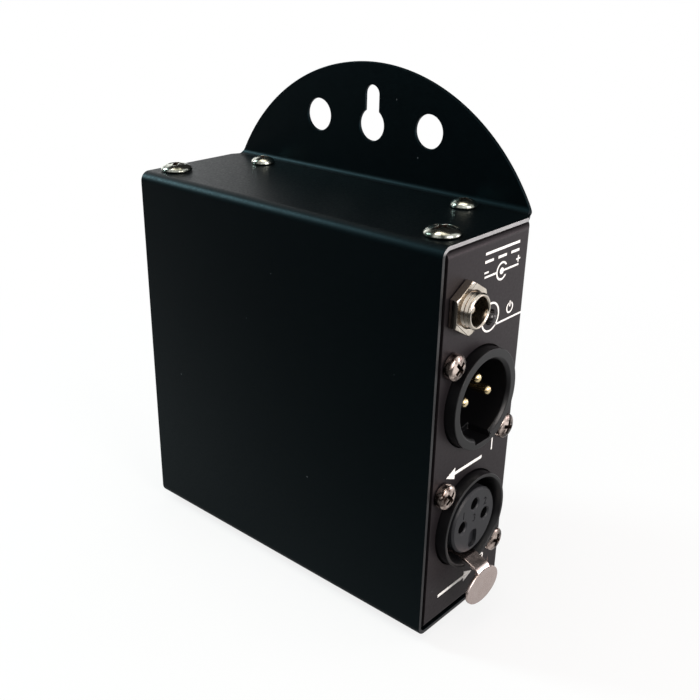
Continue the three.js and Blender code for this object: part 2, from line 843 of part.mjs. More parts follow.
function inletBody() {
  const flangeEnd = flangeFront - inletFlangeThickness;
  const barrel = turned([
    [0, -inletDepth],
    [inletRearRadius, -inletDepth],
    [inletRearRadius, flangeEnd],
    [inletFlangeRadius, flangeEnd],
    [inletFlangeRadius, flangeFront],
    [inletRadius, flangeFront],
    [inletRadius, inletProud - inletLeadIn],
    [inletRadius - inletLeadIn, inletProud],
    [inletBoreRadius + inletLeadIn, inletProud],
    [inletBoreRadius, inletProud - inletLeadIn],
    [inletBoreRadius, -inletBoreDepth],
    [0, -inletBoreDepth],
  ], boreSegments);
  const pinBore = rod('x', inletPinRadius + fitGap, -inletDepth - overrun, overrun - inletBoreDepth,
    0, 0, smallSegments);
  const lug = block(
    new THREE.Vector3(tailEnd, -inletLugWidth / 2, -inletLugDrop - inletLugThickness),
    new THREE.Vector3(overrun - inletDepth, inletLugWidth / 2, -inletLugDrop));
  return join(cut(barrel, pinBore), lug);
}

function inletPin() {
  const tip = inletProud - inletPinRecess;
  const shoulder = -inletDepth;
  return turned([
    [0, tailEnd],
    [tailRadius, tailEnd],
    [tailRadius, shoulder],
    [inletPinRadius, shoulder],
    [inletPinRadius, tip - inletLeadIn],
    [inletPinRadius - inletLeadIn, tip],
    [0, tip],
  ], smallSegments);
}

function inletNut() {
  const cornerRadius = nutAcrossFlats / Math.sqrt(3);
  const hexagon = new THREE.Shape();
  for (let corner = 0; corner < 6; corner += 1) {
    const angle = Math.PI / 3 * corner + Math.PI / 2;
    const [a, b] = [cornerRadius * Math.cos(angle), cornerRadius * Math.sin(angle)];
    if (corner === 0) hexagon.moveTo(a, b);
    else hexagon.lineTo(a, b);
  }
  const front = seatGap + nutThickness;
  const chamfer = turned([
    [0, seatGap],
    [cornerRadius + overrun, seatGap],
    [cornerRadius + overrun, front - (cornerRadius + overrun) * nutChamferDepthShare],
    [cornerRadius * nutChamferShare, front],
    [0, front],
  ], ringSegments);
  const bore = rod('x', inletRadius + fitGap, 0, front + overrun, 0, 0, boreSegments);
  return cut(prism(hexagon, 'x', seatGap, front).intersect(chamfer), bore);
}

function inlet() {
  const group = new THREE.Group();
  group.add(piece('inlet_body', inletBody(), nickel));
  group.add(piece('inlet_pin', inletPin(), nickel));
  group.add(piece('inlet_nut', inletNut(), nickel));
  return group;
}

function lampBody() {
  const shoulder = flangeFront - lampRimThickness;
  const dome = [];
  for (let step = 0; step < domeSegments; step += 1) {
    const angle = Math.PI / 2 * step / domeSegments;
    dome.push([lampRadius * Math.cos(angle), lampProud - lampRadius * (1 - Math.sin(angle))]);
  }
  const lens = turned([
    [0, -lampDepth],
    [lampRadius, -lampDepth],
    [lampRadius, shoulder],
    [lampRimRadius, shoulder],
    [lampRimRadius, flangeFront],
    [lampRadius, flangeFront],
    ...dome,
    [0, lampProud],
  ], screwSegments);
  const half = lampLegSize / 2;
  const legs = [-1, 1].map((side) => block(
    new THREE.Vector3(tailEnd, -half, side * lampLegSpacing / 2 - half),
    new THREE.Vector3(overrun - lampDepth, half, side * lampLegSpacing / 2 + half)));
  return join(lens, ...legs);
}

// Boards and what they carry, in the same panel frame, with z measured from the box's underside

function connectorTailBores() {
  return [lowerConnectorHeight, upperConnectorHeight].flatMap((height) =>
    contactPlaces.map((place) =>
      rod('x', tailRadius + fitGap, boardRear - overrun, boardFront + overrun,
        place.x, height + place.y, smallSegments)));
}

function boardBlank() {
  const blank = block(
    new THREE.Vector3(boardRear, -boardWidth / 2, boardFoot),
    new THREE.Vector3(boardFront, boardWidth / 2, boardHead));
  return cut(blank, ...connectorTailBores());
}

function inletBoard() {
  const inletSide = inletSetback - connectorSetback;
  const lampSide = lampSetback - connectorSetback;
  const pinBore = rod('x', tailRadius + fitGap, boardRear - overrun, boardFront + overrun,
    inletSide, inletHeight, smallSegments);
  const lugSlot = block(
    new THREE.Vector3(boardRear - overrun, inletSide - inletLugWidth / 2 - fitGap,
      inletHeight - inletLugDrop - inletLugThickness - fitGap),
    new THREE.Vector3(boardFront + overrun, inletSide + inletLugWidth / 2 + fitGap,
      inletHeight - inletLugDrop + fitGap));
  const legBores = [-1, 1].map((side) =>
    rod('x', lampLegSize + fitGap, boardRear - overrun, boardFront + overrun, lampSide,
      lampHeight + side * lampLegSpacing / 2, smallSegments));
  return cut(boardBlank(), pinBore, lugSlot, ...legBores);
}

// Open-topped header on the rear of the board, its mouth facing into the box
function headerBody() {
  const outer = block(
    new THREE.Vector3(-headerHeight, -headerWidth / 2, -headerLength / 2),
    new THREE.Vector3(-seatGap, headerWidth / 2, headerLength / 2));
  const room = block(
    new THREE.Vector3(-headerHeight - overrun, headerWall - headerWidth / 2, headerWall - headerLength / 2),
    new THREE.Vector3(-headerWall - seatGap, headerWidth / 2 - headerWall, headerLength / 2 - headerWall));
  return cut(outer, room);
}

function socketBody() {
  const [halfWidth, halfLength] = [headerWidth / 2, headerLength / 2].map(
    (half) => half - headerWall - fitGap);
  const rear = -headerWall - 2 * seatGap;
  return block(
    new THREE.Vector3(rear - socketHeight, -halfWidth, -halfLength),
    new THREE.Vector3(rear, halfWidth, halfLength));
}

function chipBody() {
  const body = block(
    new THREE.Vector3(-chipHeight - seatGap - chipStandoff, -chipWidth / 2, -chipLength / 2),
    new THREE.Vector3(-seatGap - chipStandoff, chipWidth / 2, chipLength / 2));
  const legs = [];
  for (const side of [-1, 1]) {
    for (let leg = 0; leg < legsPerSide; leg += 1) {
      const place = (leg - (legsPerSide - 1) / 2) * chipLegPitch;
      const [near, far] = [side * chipWidth / 2, side * (chipWidth / 2 + chipLegThickness)];
      legs.push(block(
        new THREE.Vector3(-seatGap - chipStandoff - chipHeight / 2, Math.min(near, far),
          place - chipLegWidth / 2),
        new THREE.Vector3(-seatGap, Math.max(near, far), place + chipLegWidth / 2)));
    }
  }
  return join(body, ...legs);
}

function regulatorBody() {
  const body = block(
    new THREE.Vector3(-seatGap - regulatorThickness, -regulatorWidth / 2, -regulatorHeight / 2),
    new THREE.Vector3(-seatGap, regulatorWidth / 2, regulatorHeight / 2));
  const tab = block(
    new THREE.Vector3(-seatGap - regulatorTabThickness, -regulatorWidth / 2, -regulatorHeight / 2),
    new THREE.Vector3(-seatGap, regulatorWidth / 2, regulatorHeight / 2 + regulatorTabRise));
  return join(body, tab);
}

function capacitorBody() {
  const end = -seatGap - capacitorLength;
  const groove = -seatGap - capacitorLength * capacitorGrooveShare;
  return turned([
    [0, end],
    [capacitorRadius, end],
    [capacitorRadius, groove - capacitorGrooveDepth],
    [capacitorRadius - capacitorGrooveDepth, groove],
    [capacitorRadius, groove + capacitorGrooveDepth],
    [capacitorRadius, -seatGap],
    [0, -seatGap],
  ], boreSegments);
}

function flatCable() {
  const reach = endFace + boardRear - headerWall - 2 * seatGap - socketHeight - seatGap;
  const path = [];
  for (let step = 0; step <= cableSegments; step += 1) {
    const along = step / cableSegments;
    const sag = cableSlack * Math.sin(Math.PI * along) ** 2;
    path.push(new THREE.Vector2((2 * along - 1) * reach, connectorLine - sag));
  }
  const middle = (lowerConnectorHeight + upperConnectorHeight) / 2;
  return prism(smoothStrip(path, cableThickness), 'z', middle - cableWidth / 2,
    middle + cableWidth / 2);
}

// Assembly of one end: everything that follows its panel, turned to face out of the box

function endAssembly(direction) {
  const group = new THREE.Group();
  group.position.set(direction * endFace, connectorLine, 0);
  group.rotation.z = direction < 0 ? Math.PI : 0;
  return group;
}

function addHeader(group, hand) {
  const middle = (lowerConnectorHeight + upperConnectorHeight) / 2;
  group.add(placed(piece(`${hand}_cable_header`, headerBody(), blackPlastic), boardRear, 0, middle));
  group.add(placed(piece(`${hand}_cable_socket`, socketBody(), greyPlastic), boardRear, 0, middle));
}

function inletEnd() {
  const group = endAssembly(1);
  group.add(placed(pinConnector('input'), 0, 0, upperConnectorHeight));
  group.add(placed(contactConnector('through'), 0, 0, lowerConnectorHeight));
  group.add(placed(inlet(), 0, inletSetback - connectorSetback, inletHeight));
  group.add(placed(piece('power_lamp', lampBody(), clearRed), 0, lampSetback - connectorSetback,
    lampHeight));
  group.add(piece('inlet_board', inletBoard(), boardGreen));
  group.add(placed(piece('isolator_chip', chipBody(), chipEpoxy), boardRear, 0, chipRise));
  group.add(placed(piece('supply_capacitor', capacitorBody(), sleeveBlue), boardRear, capacitorOffset,
    capacitorRise));
  addHeader(group, 'right');
  return group;
}

function outputEnd() {
  const group = endAssembly(-1);
  group.add(placed(contactConnector('output_1'), 0, 0, upperConnectorHeight));
  group.add(placed(contactConnector('output_2'), 0, 0, lowerConnectorHeight));
  group.add(piece('output_board', boardBlank(), boardGreen));
  group.add(placed(piece('driver_chip_1', chipBody(), chipEpoxy), boardRear, 0, chipRise));
  group.add(placed(piece('driver_chip_2', chipBody(), chipEpoxy), boardRear, 0, secondChipRise));
  group.add(placed(piece('supply_regulator', regulatorBody(), chipEpoxy), boardRear, 0, regulatorRise));
  addHeader(group, 'left');
  return group;
}

function coverScrews() {
  const group = new THREE.Group();
  for (const { name, x, y, radius, headRadius } of coverScrewPlaces()) {
    const screw = crossScrew(radius, coverScrewLength, headRadius, coverScrewHeadHeight,
      coverScrewRimShare);
    const upper = placed(piece(`top_screw_${name}`, screw, nickel), x, y, boxHeight + seatGap);
    upper.rotation.y = -Math.PI / 2;
    const lower = placed(piece(`bottom_screw_${name}`, screw, nickel), x, y, -seatGap);
    lower.rotation.y = Math.PI / 2;
    group.add(upper, lower);
  }
  return group;
}

// The whole stands on the heads of the screws under it
const splitter = new THREE.Group();
splitter.position.z = coverScrewHeadHeight + seatGap;
splitter.add(piece('cover', coverBody(), coverPaint));
splitter.add(piece('chassis', chassisBody(), panelPaint));
splitter.add(coverScrews(), inletEnd(), outputEnd());
splitter.add(piece('flat_cable', flatCable(), cableGrey));

export default splitter;
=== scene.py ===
import json
import math

import bmesh
import bpy
from mathutils import Matrix, Vector


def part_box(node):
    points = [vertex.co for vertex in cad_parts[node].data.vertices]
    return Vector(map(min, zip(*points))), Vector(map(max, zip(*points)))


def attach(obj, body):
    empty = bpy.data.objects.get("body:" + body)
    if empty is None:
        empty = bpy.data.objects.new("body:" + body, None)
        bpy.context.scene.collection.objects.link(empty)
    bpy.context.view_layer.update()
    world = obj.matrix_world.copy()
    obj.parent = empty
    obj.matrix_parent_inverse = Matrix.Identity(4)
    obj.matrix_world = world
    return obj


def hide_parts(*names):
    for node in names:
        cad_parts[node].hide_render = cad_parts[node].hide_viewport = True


# The looks of a small lighting-data splitter: a folded, powder-coated steel box with a wall hanger.
# Sizes are in metres, most of them written in millimetres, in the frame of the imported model.

MM = 0.001
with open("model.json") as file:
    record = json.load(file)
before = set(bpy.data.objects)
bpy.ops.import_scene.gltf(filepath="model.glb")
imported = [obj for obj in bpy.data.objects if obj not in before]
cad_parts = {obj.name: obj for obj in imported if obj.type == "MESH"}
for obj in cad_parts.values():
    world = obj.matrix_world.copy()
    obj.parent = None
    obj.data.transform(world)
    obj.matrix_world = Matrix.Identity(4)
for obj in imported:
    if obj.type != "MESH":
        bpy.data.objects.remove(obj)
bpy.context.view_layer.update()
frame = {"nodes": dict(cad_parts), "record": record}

# Clearances, the overrun of cutting tools and how far edges are eased
SEAT_GAP = 0.2 * MM
FIT = 0.3 * MM
OVERRUN = 1.0 * MM
EASE = 0.12 * MM
SOFT_EASE = 0.16 * MM
FINE_EASE = 0.05 * MM

# A face looks along an axis where this much of its normal does
FACING = 0.9

# Planes and lines that the frame gives
cover_low, cover_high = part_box("cover")
chassis_low, chassis_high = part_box("chassis")
BOX_HALF = cover_high.x
FRONT = cover_low.y
HANGER_BACK = cover_high.y
UNDERSIDE = cover_low.z
HANGER_TOP = cover_high.z
PANEL = chassis_high.x
BACK = chassis_high.y
PANEL_EDGE = chassis_low.y
CHASSIS_FOOT = chassis_low.z
CHASSIS_HEAD = chassis_high.z
SHEET = 1.0 * MM
BOX_TOP = CHASSIS_HEAD + SHEET + SEAT_GAP

# Folded sheets
COVER_BEND = 1.5 * MM
CHASSIS_BEND = 0.8 * MM
HANGER_INSET = 1.4 * MM
HANGER_FOOT = BOX_HALF - HANGER_INSET
HANGER_CORNER = 3.9 * MM
HANGER_HOLE = 4.0 * MM
HANGER_HOLE_OFFSET = 17.3 * MM
HANGER_HOLE_RISE = 13.9 * MM
KEYHOLE = 3.9 * MM
KEYHOLE_RISE = 13.4 * MM
KEYHOLE_SLOT = 2.2 * MM
KEYHOLE_TRAVEL = 7.2 * MM
FLANGE_REACH = 9.3 * MM
TAB_HALF = 5.0 * MM
TAB_DEPTH = 8.5 * MM
RELIEF = 0.6 * MM

# Screws: radius and height of the head, share of the height that is rim, radius and length of the shank
SCREWS = {
    "front": (4.0 * MM, 1.8 * MM, 0.14, 1.9 * MM, 6.5 * MM),
    "back": (3.1 * MM, 1.8 * MM, 0.14, 1.4 * MM, 6.5 * MM),
    "panel": (3.0 * MM, 2.4 * MM, 0.6, 1.3 * MM, 6.0 * MM),
}
SCREW_BORES = {kind: screw[3] + FIT for kind, screw in SCREWS.items()}

# Panel frame: x = 0 is the outer face of an end panel and +x points out of the box
connector_low, connector_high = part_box("input_housing")
CONNECTOR_Y = (connector_low.y + connector_high.y) / 2
FLANGE_HALF = (connector_high.y - connector_low.y) / 2
UPPER = connector_low.z + FLANGE_HALF
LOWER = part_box("through_housing")[0].z + FLANGE_HALF
COLLAR = 11.9 * MM
COLLAR_PROUD = connector_high.x - PANEL
HOUSING_REAR = connector_low.x - PANEL
HOUSING_HALF = 12.0 * MM
HOUSING_CORNER = 2.0 * MM
FLANGE_FRONT = -1.2 * MM
FLANGE_REAR = -4.2 * MM
FLANGE_CORNER = 3.0 * MM
SCREW_OFFSET = 11.0 * MM
SCREW_PLACES = ((-SCREW_OFFSET, SCREW_OFFSET), (SCREW_OFFSET, -SCREW_OFFSET))
TAIL = 0.6 * MM
TAIL_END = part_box("input_pin_1")[0].x - PANEL

# Pin socket
CUP = 9.2 * MM
CUP_DEPTH = 12.5 * MM
CUP_LEAD_IN = 0.7 * MM
NOTCH_HALF = 2.8 * MM
NOTCH_DEPTH = 1.2 * MM
NOTCH_LENGTH = 6.0 * MM
PIN_CIRCLE = 4.5 * MM
CONTACT_PLACES = ((0.0, PIN_CIRCLE), (-PIN_CIRCLE, 0.0), (PIN_CIRCLE, 0.0))
PIN = 1.2 * MM
PIN_SHOULDER = -15.0 * MM
PIN_TIP = 0.7 * MM
PIN_CROWN = 1.0 * MM

# Contact socket
LIP = 0.8 * MM
FUNNEL = 2.2 * MM
GROOVE = 9.8 * MM
GROOVE_DEPTH = 8.0 * MM
SLOT_TOP = -9.1 * MM
SLOT_FLOOR = -12.1 * MM
INSERT = 8.4 * MM
INSERT_PROUD = 2.2 * MM
INSERT_CHAMFER = 0.5 * MM
INSERT_STEP = 7.0 * MM
INSERT_DEPTH = 14.0 * MM
FIGURE_DEPTH = 0.2 * MM
FIGURE_SIZE = 2.9 * MM
FIGURE_PLACES = {"1": (-4.5 * MM, 3.1 * MM), "2": (4.2 * MM, 3.4 * MM), "3": (0.0, 0.7 * MM)}
KEYWAY_HALF = 1.6 * MM
KEYWAY_CORNER = 0.7 * KEYWAY_HALF
KEYWAY_LOW = -7.2 * MM
KEYWAY_HIGH = -2.6 * MM
KEYWAY_DEPTH = 1.0 * MM
CONTACT_MOUTH = 1.45 * MM
MOUTH_END = -0.4 * MM
MOUTH_LEAD_IN = 0.4 * MM
SLEEVE = 1.6 * MM
SLEEVE_BORE = 1.25 * MM
SLEEVE_BORE_DEPTH = 8.0 * MM
SLEEVE_FRONT = -1.0 * MM
SLEEVE_REAR = -13.7 * MM

# Push latch
LATCH_HALF = 2.4 * MM
LATCH_SHEET = 0.8 * MM
LATCH_LINE = -10.2 * MM
LATCH_PIVOT = -10.0 * MM
LATCH_AXIS = (LATCH_PIVOT, LATCH_LINE)
LATCH_NECK = 2.0 * MM
LATCH_BEND = 1.3 * MM
TAB_FRONT = 6.3 * MM
TAB_SHOULDER = -11.9 * MM
TAB_MIDDLE = -16.6 * MM
TAB_WIDTH = 12.7 * MM
TAB_HEIGHT = 9.0 * MM
BARREL = 1.2 * MM
TRUNNION = 0.7 * MM
TRUNNION_REACH = 1.5 * MM
HOOK_REAR = -5.6 * MM
HOOK_FRONT = -3.4 * MM
HOOK_TOP = -8.9 * MM
HOOK_HALF = 2.0 * MM
HOOK_SLANT = 1.5 * MM

# Inlet and lamp
INLET_Y = -9.25 * MM - CONNECTOR_Y
INLET_Z = 81.1 * MM + UNDERSIDE
INLET_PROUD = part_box("inlet_body")[1].x - PANEL
INLET_REAR = -13.0 * MM
INLET = 4.0 * MM
INLET_PIN = 1.0 * MM
INLET_PIN_RECESS = 1.6 * MM
INLET_PIN_CROWN = 0.5 * MM
LAMP_Y = 1.55 * MM - CONNECTOR_Y
LAMP_RISE = 75.8 * MM
LAMP_Z = LAMP_RISE + UNDERSIDE
LAMP = 1.5 * MM
LAMP_PROUD = 1.3 * MM
LAMP_REAR = -5.0 * MM

# Half the thickness of the printed ink
INK_HALF = 0.015 * MM


# Handling of pieces


def take(piece):
    """Makes one piece the only selected and active one, in object mode."""
    if bpy.context.mode != "OBJECT":
        bpy.ops.object.mode_set(mode="OBJECT")
    bpy.ops.object.select_all(action="DESELECT")
    if piece is not None:
        piece.select_set(True)
        bpy.context.view_layer.objects.active = piece
    return piece


def settle(name):
    """Names the new primitive and puts its place into its mesh."""
    piece = bpy.context.active_object
    bpy.ops.object.transform_apply(location=True, rotation=True, scale=True)
    piece.name = piece.data.name = name
    return piece


def cube(low, high, name="tool"):
    take(None)
    low, high = Vector(low), Vector(high)
    bpy.ops.mesh.primitive_cube_add(size=1, location=(low + high) / 2, scale=high - low)
    return settle(name)


def plane(name, place, width, height, rotation=(0, 0, 0)):
    take(None)
    bpy.ops.mesh.primitive_plane_add(size=1, location=place, rotation=rotation)
    bpy.context.active_object.scale = (width, height, 1)
    return settle(name)


AXIS_TURN = {"x": (0, math.pi / 2, 0), "y": (-math.pi / 2, 0, 0), "z": (0, 0, 0)}


def bar(radius, axis, start, end, across=(0, 0), sides=64, name="tool"):
    """A round bar along an axis; across is its place on the two other axes."""
    take(None)
    middle = list(across)
    middle.insert("xyz".index(axis), (start + end) / 2)
    bpy.ops.mesh.primitive_cylinder_add(vertices=sides, radius=radius, depth=end - start,
                                        location=middle, rotation=AXIS_TURN[axis])
    return settle(name)


def edit(piece, kind, wanted=lambda element: True):
    """Goes into edit mode and selects the faces, edges or vertices that are wanted."""
    if bpy.context.mode != "EDIT_MESH" or bpy.context.active_object != piece:
        take(piece)
        bpy.ops.object.mode_set(mode="EDIT")
    bpy.ops.mesh.select_mode(type=kind)
    bpy.ops.mesh.select_all(action="DESELECT")
    cage = bmesh.from_edit_mesh(piece.data)
    for element in {"FACE": cage.faces, "EDGE": cage.edges, "VERT": cage.verts}[kind]:
        if wanted(element):
            element.select_set(True)
    bmesh.update_edit_mesh(piece.data)


def middle_of(edge):
    return (edge.verts[0].co + edge.verts[1].co) / 2


def near(value, target, tolerance=0.02 * MM):
    return abs(value - target) < tolerance


def draw_out(*shift):
    """Extrudes what is selected."""
    bpy.ops.mesh.extrude_region_move(TRANSFORM_OT_translate={"value": shift})


def round_off(size, rounds):
    """Bevels the selected edges."""
    bpy.ops.mesh.bevel(offset=size, segments=rounds, affect="EDGES", clamp_overlap=False)


def round_corners(block, size, rounds):
    """Rounds the edges that run along x."""
    edit(block, "EDGE", lambda e: abs((e.verts[0].co - e.verts[1].co).x) > OVERRUN / 2)
    round_off(size, rounds)
    return take(block)


def turn(piece, axis, radius, steps, across=(0, 0)):
    """Carries the end face through steps of radius and place along the axis, as on a lathe."""
    index = "xyz".index(axis)
    edit(piece, "FACE", lambda face: face.normal[index] > FACING)
    place = max(vertex.co[index] for vertex in bmesh.from_edit_mesh(piece.data).verts)
    centre = list(across)
    centre.insert(index, 0)
    for new_radius, new_place in steps:
        shift = [0, 0, 0]
        shift[index] = new_place - place
        draw_out(*shift)
        scale = [new_radius / radius] * 3
        scale[index] = 1
        bpy.ops.transform.resize(value=scale, center_override=centre)
        radius, place = new_radius, new_place
    return take(piece)


def dome(radius, height, base, rounds):
    """Steps of a dome that ends in a small flat."""
    angles = [math.pi / 2 * i / rounds for i in range(1, rounds)]
    flat = radius * 0.04
    return [(radius * math.cos(a), base + height * math.sin(a)) for a in angles] + [(flat, base + height)]


def work(piece, kind, **settings):
    """Adds a modifier and applies it."""
    take(piece)
    modifier = piece.modifiers.new(kind.lower(), kind)
    for name, value in settings.items():
        setattr(modifier, name, value)
    bpy.ops.object.modifier_apply(modifier=modifier.name)
    return piece


def thicken(sheet, thickness=SHEET, offset=-1):
    return work(sheet, "SOLIDIFY", thickness=thickness, offset=offset, use_even_offset=True)


def combine(piece, operation, *tools):
    for tool in tools:
        work(piece, "BOOLEAN", operation=operation, solver="EXACT", object=tool)
        bpy.data.objects.remove(tool)
    return piece


def cut(piece, *tools):
    return combine(piece, "DIFFERENCE", *tools)


def join(piece, *tools):
    return combine(piece, "UNION", *tools)


def finish_mesh(piece, ease=EASE, rounds=2, smooth=35, weld=0.002 * MM, stays_sharp=None):
    """Cleans the mesh, eases its sharp edges and shades it smooth up to an angle in degrees."""
    sharp = math.radians(32)
    edit(piece, "VERT")
    bpy.ops.mesh.remove_doubles(threshold=weld)
    bpy.ops.mesh.normals_make_consistent(inside=False)
    edit(piece, "EDGE", lambda e: e.is_manifold and e.calc_face_angle(0) > sharp
         and not (stays_sharp and stays_sharp(middle_of(e))))
    round_off(ease, rounds)
    take(piece)
    bpy.ops.object.shade_smooth_by_angle(angle=math.radians(smooth))
    return work(piece, "WEIGHTED_NORMAL", keep_sharp=True)


def copy_to(piece, name, matrix):
    """A copy with its own mesh, whose place is in that mesh."""
    copied = piece.copy()
    copied.data = piece.data.copy()
    bpy.context.scene.collection.objects.link(copied)
    copied.name = copied.data.name = name
    copied.data.transform(matrix)
    return copied


def end_place(side, height):
    """From the panel frame to the right end (side 1) or the left end (side -1)."""
    turned = Matrix.Identity(4) if side > 0 else Matrix.Rotation(math.pi, 4, "Z")
    return Matrix.Translation((side * PANEL, CONNECTOR_Y, height)) @ turned


# Finishes


def srgb(code):
    """A colour written as sRGB hex, as the linear numbers that the nodes take."""
    channels = [int(code[i:i + 2], 16) / 255 for i in (1, 3, 5)]
    return [c / 12.92 if c <= 0.04045 else ((c + 0.055) / 1.055) ** 2.4 for c in channels] + [1]


def add_node(tree, kind, settings=None, inputs=None):
    """Adds a node, sets its properties and sets or links its inputs, where a node means its first output."""
    node = tree.nodes.new(kind)
    for name, value in (settings or {}).items():
        setattr(node, name, value)
    for name, value in (inputs or {}).items():
        if isinstance(value, bpy.types.Node):
            value = value.outputs[0]
        if isinstance(value, bpy.types.NodeSocket):
            tree.links.new(value, node.inputs[name])
        else:
            node.inputs[name].default_value = value
    return node


def per_mm(size):
    """Texture scale at which one cell measures so many millimetres."""
    return 1 / (size * MM)


def new_finish(name, **surface):
    """A material with one Principled shader; surface gives its sockets, underscores for spaces."""
    material = bpy.data.materials.new(name)
    material.use_nodes = True
    tree = material.node_tree
    shader = tree.nodes["Principled BSDF"]
    for socket, value in surface.items():
        shader.inputs[socket.replace("_", " ")].default_value = value
    where = add_node(tree, "ShaderNodeTexCoord").outputs["Object"]
    return material, tree, shader, where


def cloud_and_grain(tree, shader, where, cloud, grain, strength, depth):
    """Two noises, each given as its size in millimetres, detail and roughness: a cloud for the tint, and a
    grain whose relief breaks the light."""
    broad, fine = [
        add_node(tree, "ShaderNodeTexNoise", {}, {
            "Vector": where, "Scale": per_mm(size), "Detail": detail, "Roughness": roughness})
        for size, detail, roughness in (cloud, grain)]
    bump = add_node(tree, "ShaderNodeBump", {}, {"Strength": strength, "Distance": depth, "Height": fine})
    tree.links.new(bump.outputs["Normal"], shader.inputs["Normal"])
    return broad, fine


def powder_coat(name, dark, pale, grain, roughness, specular, sheen):
    """Powder-coated steel: baked polyester, a satin film with a fine orange peel and a few pale nibs."""
    nib_spacing, nib_share, nib_colour = 9, 0.02, "#4a4d50"
    material, tree, shader, where = new_finish(
        name, Roughness=roughness, Specular_IOR_Level=specular, Specular_Tint=srgb(sheen))
    cloud, peel = cloud_and_grain(tree, shader, where, (28, 3, 0.5), (grain, 2, 0.45), 0.3, 0.02 * MM)
    tint = add_node(tree, "ShaderNodeMix", {"data_type": "RGBA"}, {0: cloud, 6: srgb(dark), 7: srgb(pale)})
    nibs = add_node(tree, "ShaderNodeTexVoronoi", {}, {"Vector": where, "Scale": per_mm(nib_spacing)})
    nib = add_node(tree, "ShaderNodeMath", {"operation": "LESS_THAN"}, {0: nibs, 1: nib_share})
    speckled = add_node(tree, "ShaderNodeMix", {"data_type": "RGBA"}, {
        0: nib, 6: tint.outputs[2], 7: srgb(nib_colour)})
    gloss = add_node(tree, "ShaderNodeMapRange", {}, {
        "Value": peel, "From Min": 0.3, "From Max": 0.7,
        "To Min": roughness - 0.04, "To Max": roughness + 0.06})
    tree.links.new(speckled.outputs[2], shader.inputs["Base Color"])
    tree.links.new(gloss.outputs["Result"], shader.inputs["Roughness"])
    return material


def sheared_edge(name, coated, painted_highlight):
    """Sheared steel under a coat that runs thin: dark grey, with a painted highlight, a paler band along the
    top of the box where the rounded edge of the top flange catches the light.
    """
    highlight_from, highlight_to = BOX_TOP - 1.8 * MM, BOX_TOP - 1.1 * MM
    material, tree, shader, where = new_finish(name, Roughness=0.38, Specular_IOR_Level=0.4)
    wave, _ = cloud_and_grain(tree, shader, where, (3, 3, 0.5), (3, 3, 0.5), 0.3, 0.02 * MM)
    place = add_node(tree, "ShaderNodeSeparateXYZ", {}, {0: where})
    # Painted highlight: the edge turns pale towards the top of the box
    edge = add_node(tree, "ShaderNodeMapRange", {}, {
        "Value": place.outputs["Z"], "From Min": highlight_from, "From Max": highlight_to})
    uneven = add_node(tree, "ShaderNodeMapRange", {}, {
        "Value": wave, "From Min": 0.3, "From Max": 0.7, "To Min": 0.75, "To Max": 1.0})
    share = add_node(tree, "ShaderNodeMath", {"operation": "MULTIPLY"}, {0: edge, 1: uneven})
    tint = add_node(tree, "ShaderNodeMix", {"data_type": "RGBA"}, {0: share, 6: srgb(coated), 7: srgb(painted_highlight)})
    tree.links.new(tint.outputs[2], shader.inputs["Base Color"])
    return material


def plated(name, clean, wear_and_painted_reflection, roughness, scratch, blend=1.0):
    """Plated metal: bright where it is clean, with fine random scratches and a bloom, which a small blend
    gives distinct edges. The second colour is wear, and on the screw heads, where it is near black, a painted
    dark reflection."""
    material, tree, shader, where = new_finish(name, Metallic=1.0, Roughness=roughness)
    bloom_and_reflection_patches, _ = cloud_and_grain(tree, shader, where, (2.2, 4, 0.6), (scratch, 3, 0.7), 0.25, 0.01 * MM)
    patches = add_node(tree, "ShaderNodeMapRange", {}, {
        "Value": bloom_and_reflection_patches, "From Min": 0.5 - blend / 2, "From Max": 0.5 + blend / 2})
    tint = add_node(tree, "ShaderNodeMix", {"data_type": "RGBA"}, {0: patches, 6: srgb(clean), 7: srgb(wear_and_painted_reflection)})
    gloss = add_node(tree, "ShaderNodeMapRange", {}, {
        "Value": bloom_and_reflection_patches, "From Min": 0.3, "From Max": 0.7,
        "To Min": roughness - 0.05, "To Max": roughness + 0.1})
    tree.links.new(tint.outputs[2], shader.inputs["Base Color"])
    tree.links.new(gloss.outputs["Result"], shader.inputs["Roughness"])
    return material


def moulded(name, colour, paler, roughness, specular, grain):
    """Moulded thermoplastic: an even colour, a fine spark-eroded grain and soft satin gloss."""
    material, tree, shader, where = new_finish(name, Roughness=roughness, Specular_IOR_Level=specular)
    flow, _ = cloud_and_grain(tree, shader, where, (6, 2, 0.5), (grain, 2, 0.5), 0.3, 0.012 * MM)
    tint = add_node(tree, "ShaderNodeMix", {"data_type": "RGBA"}, {0: flow, 6: srgb(colour), 7: srgb(paler)})
    tree.links.new(tint.outputs[2], shader.inputs["Base Color"])
    return material


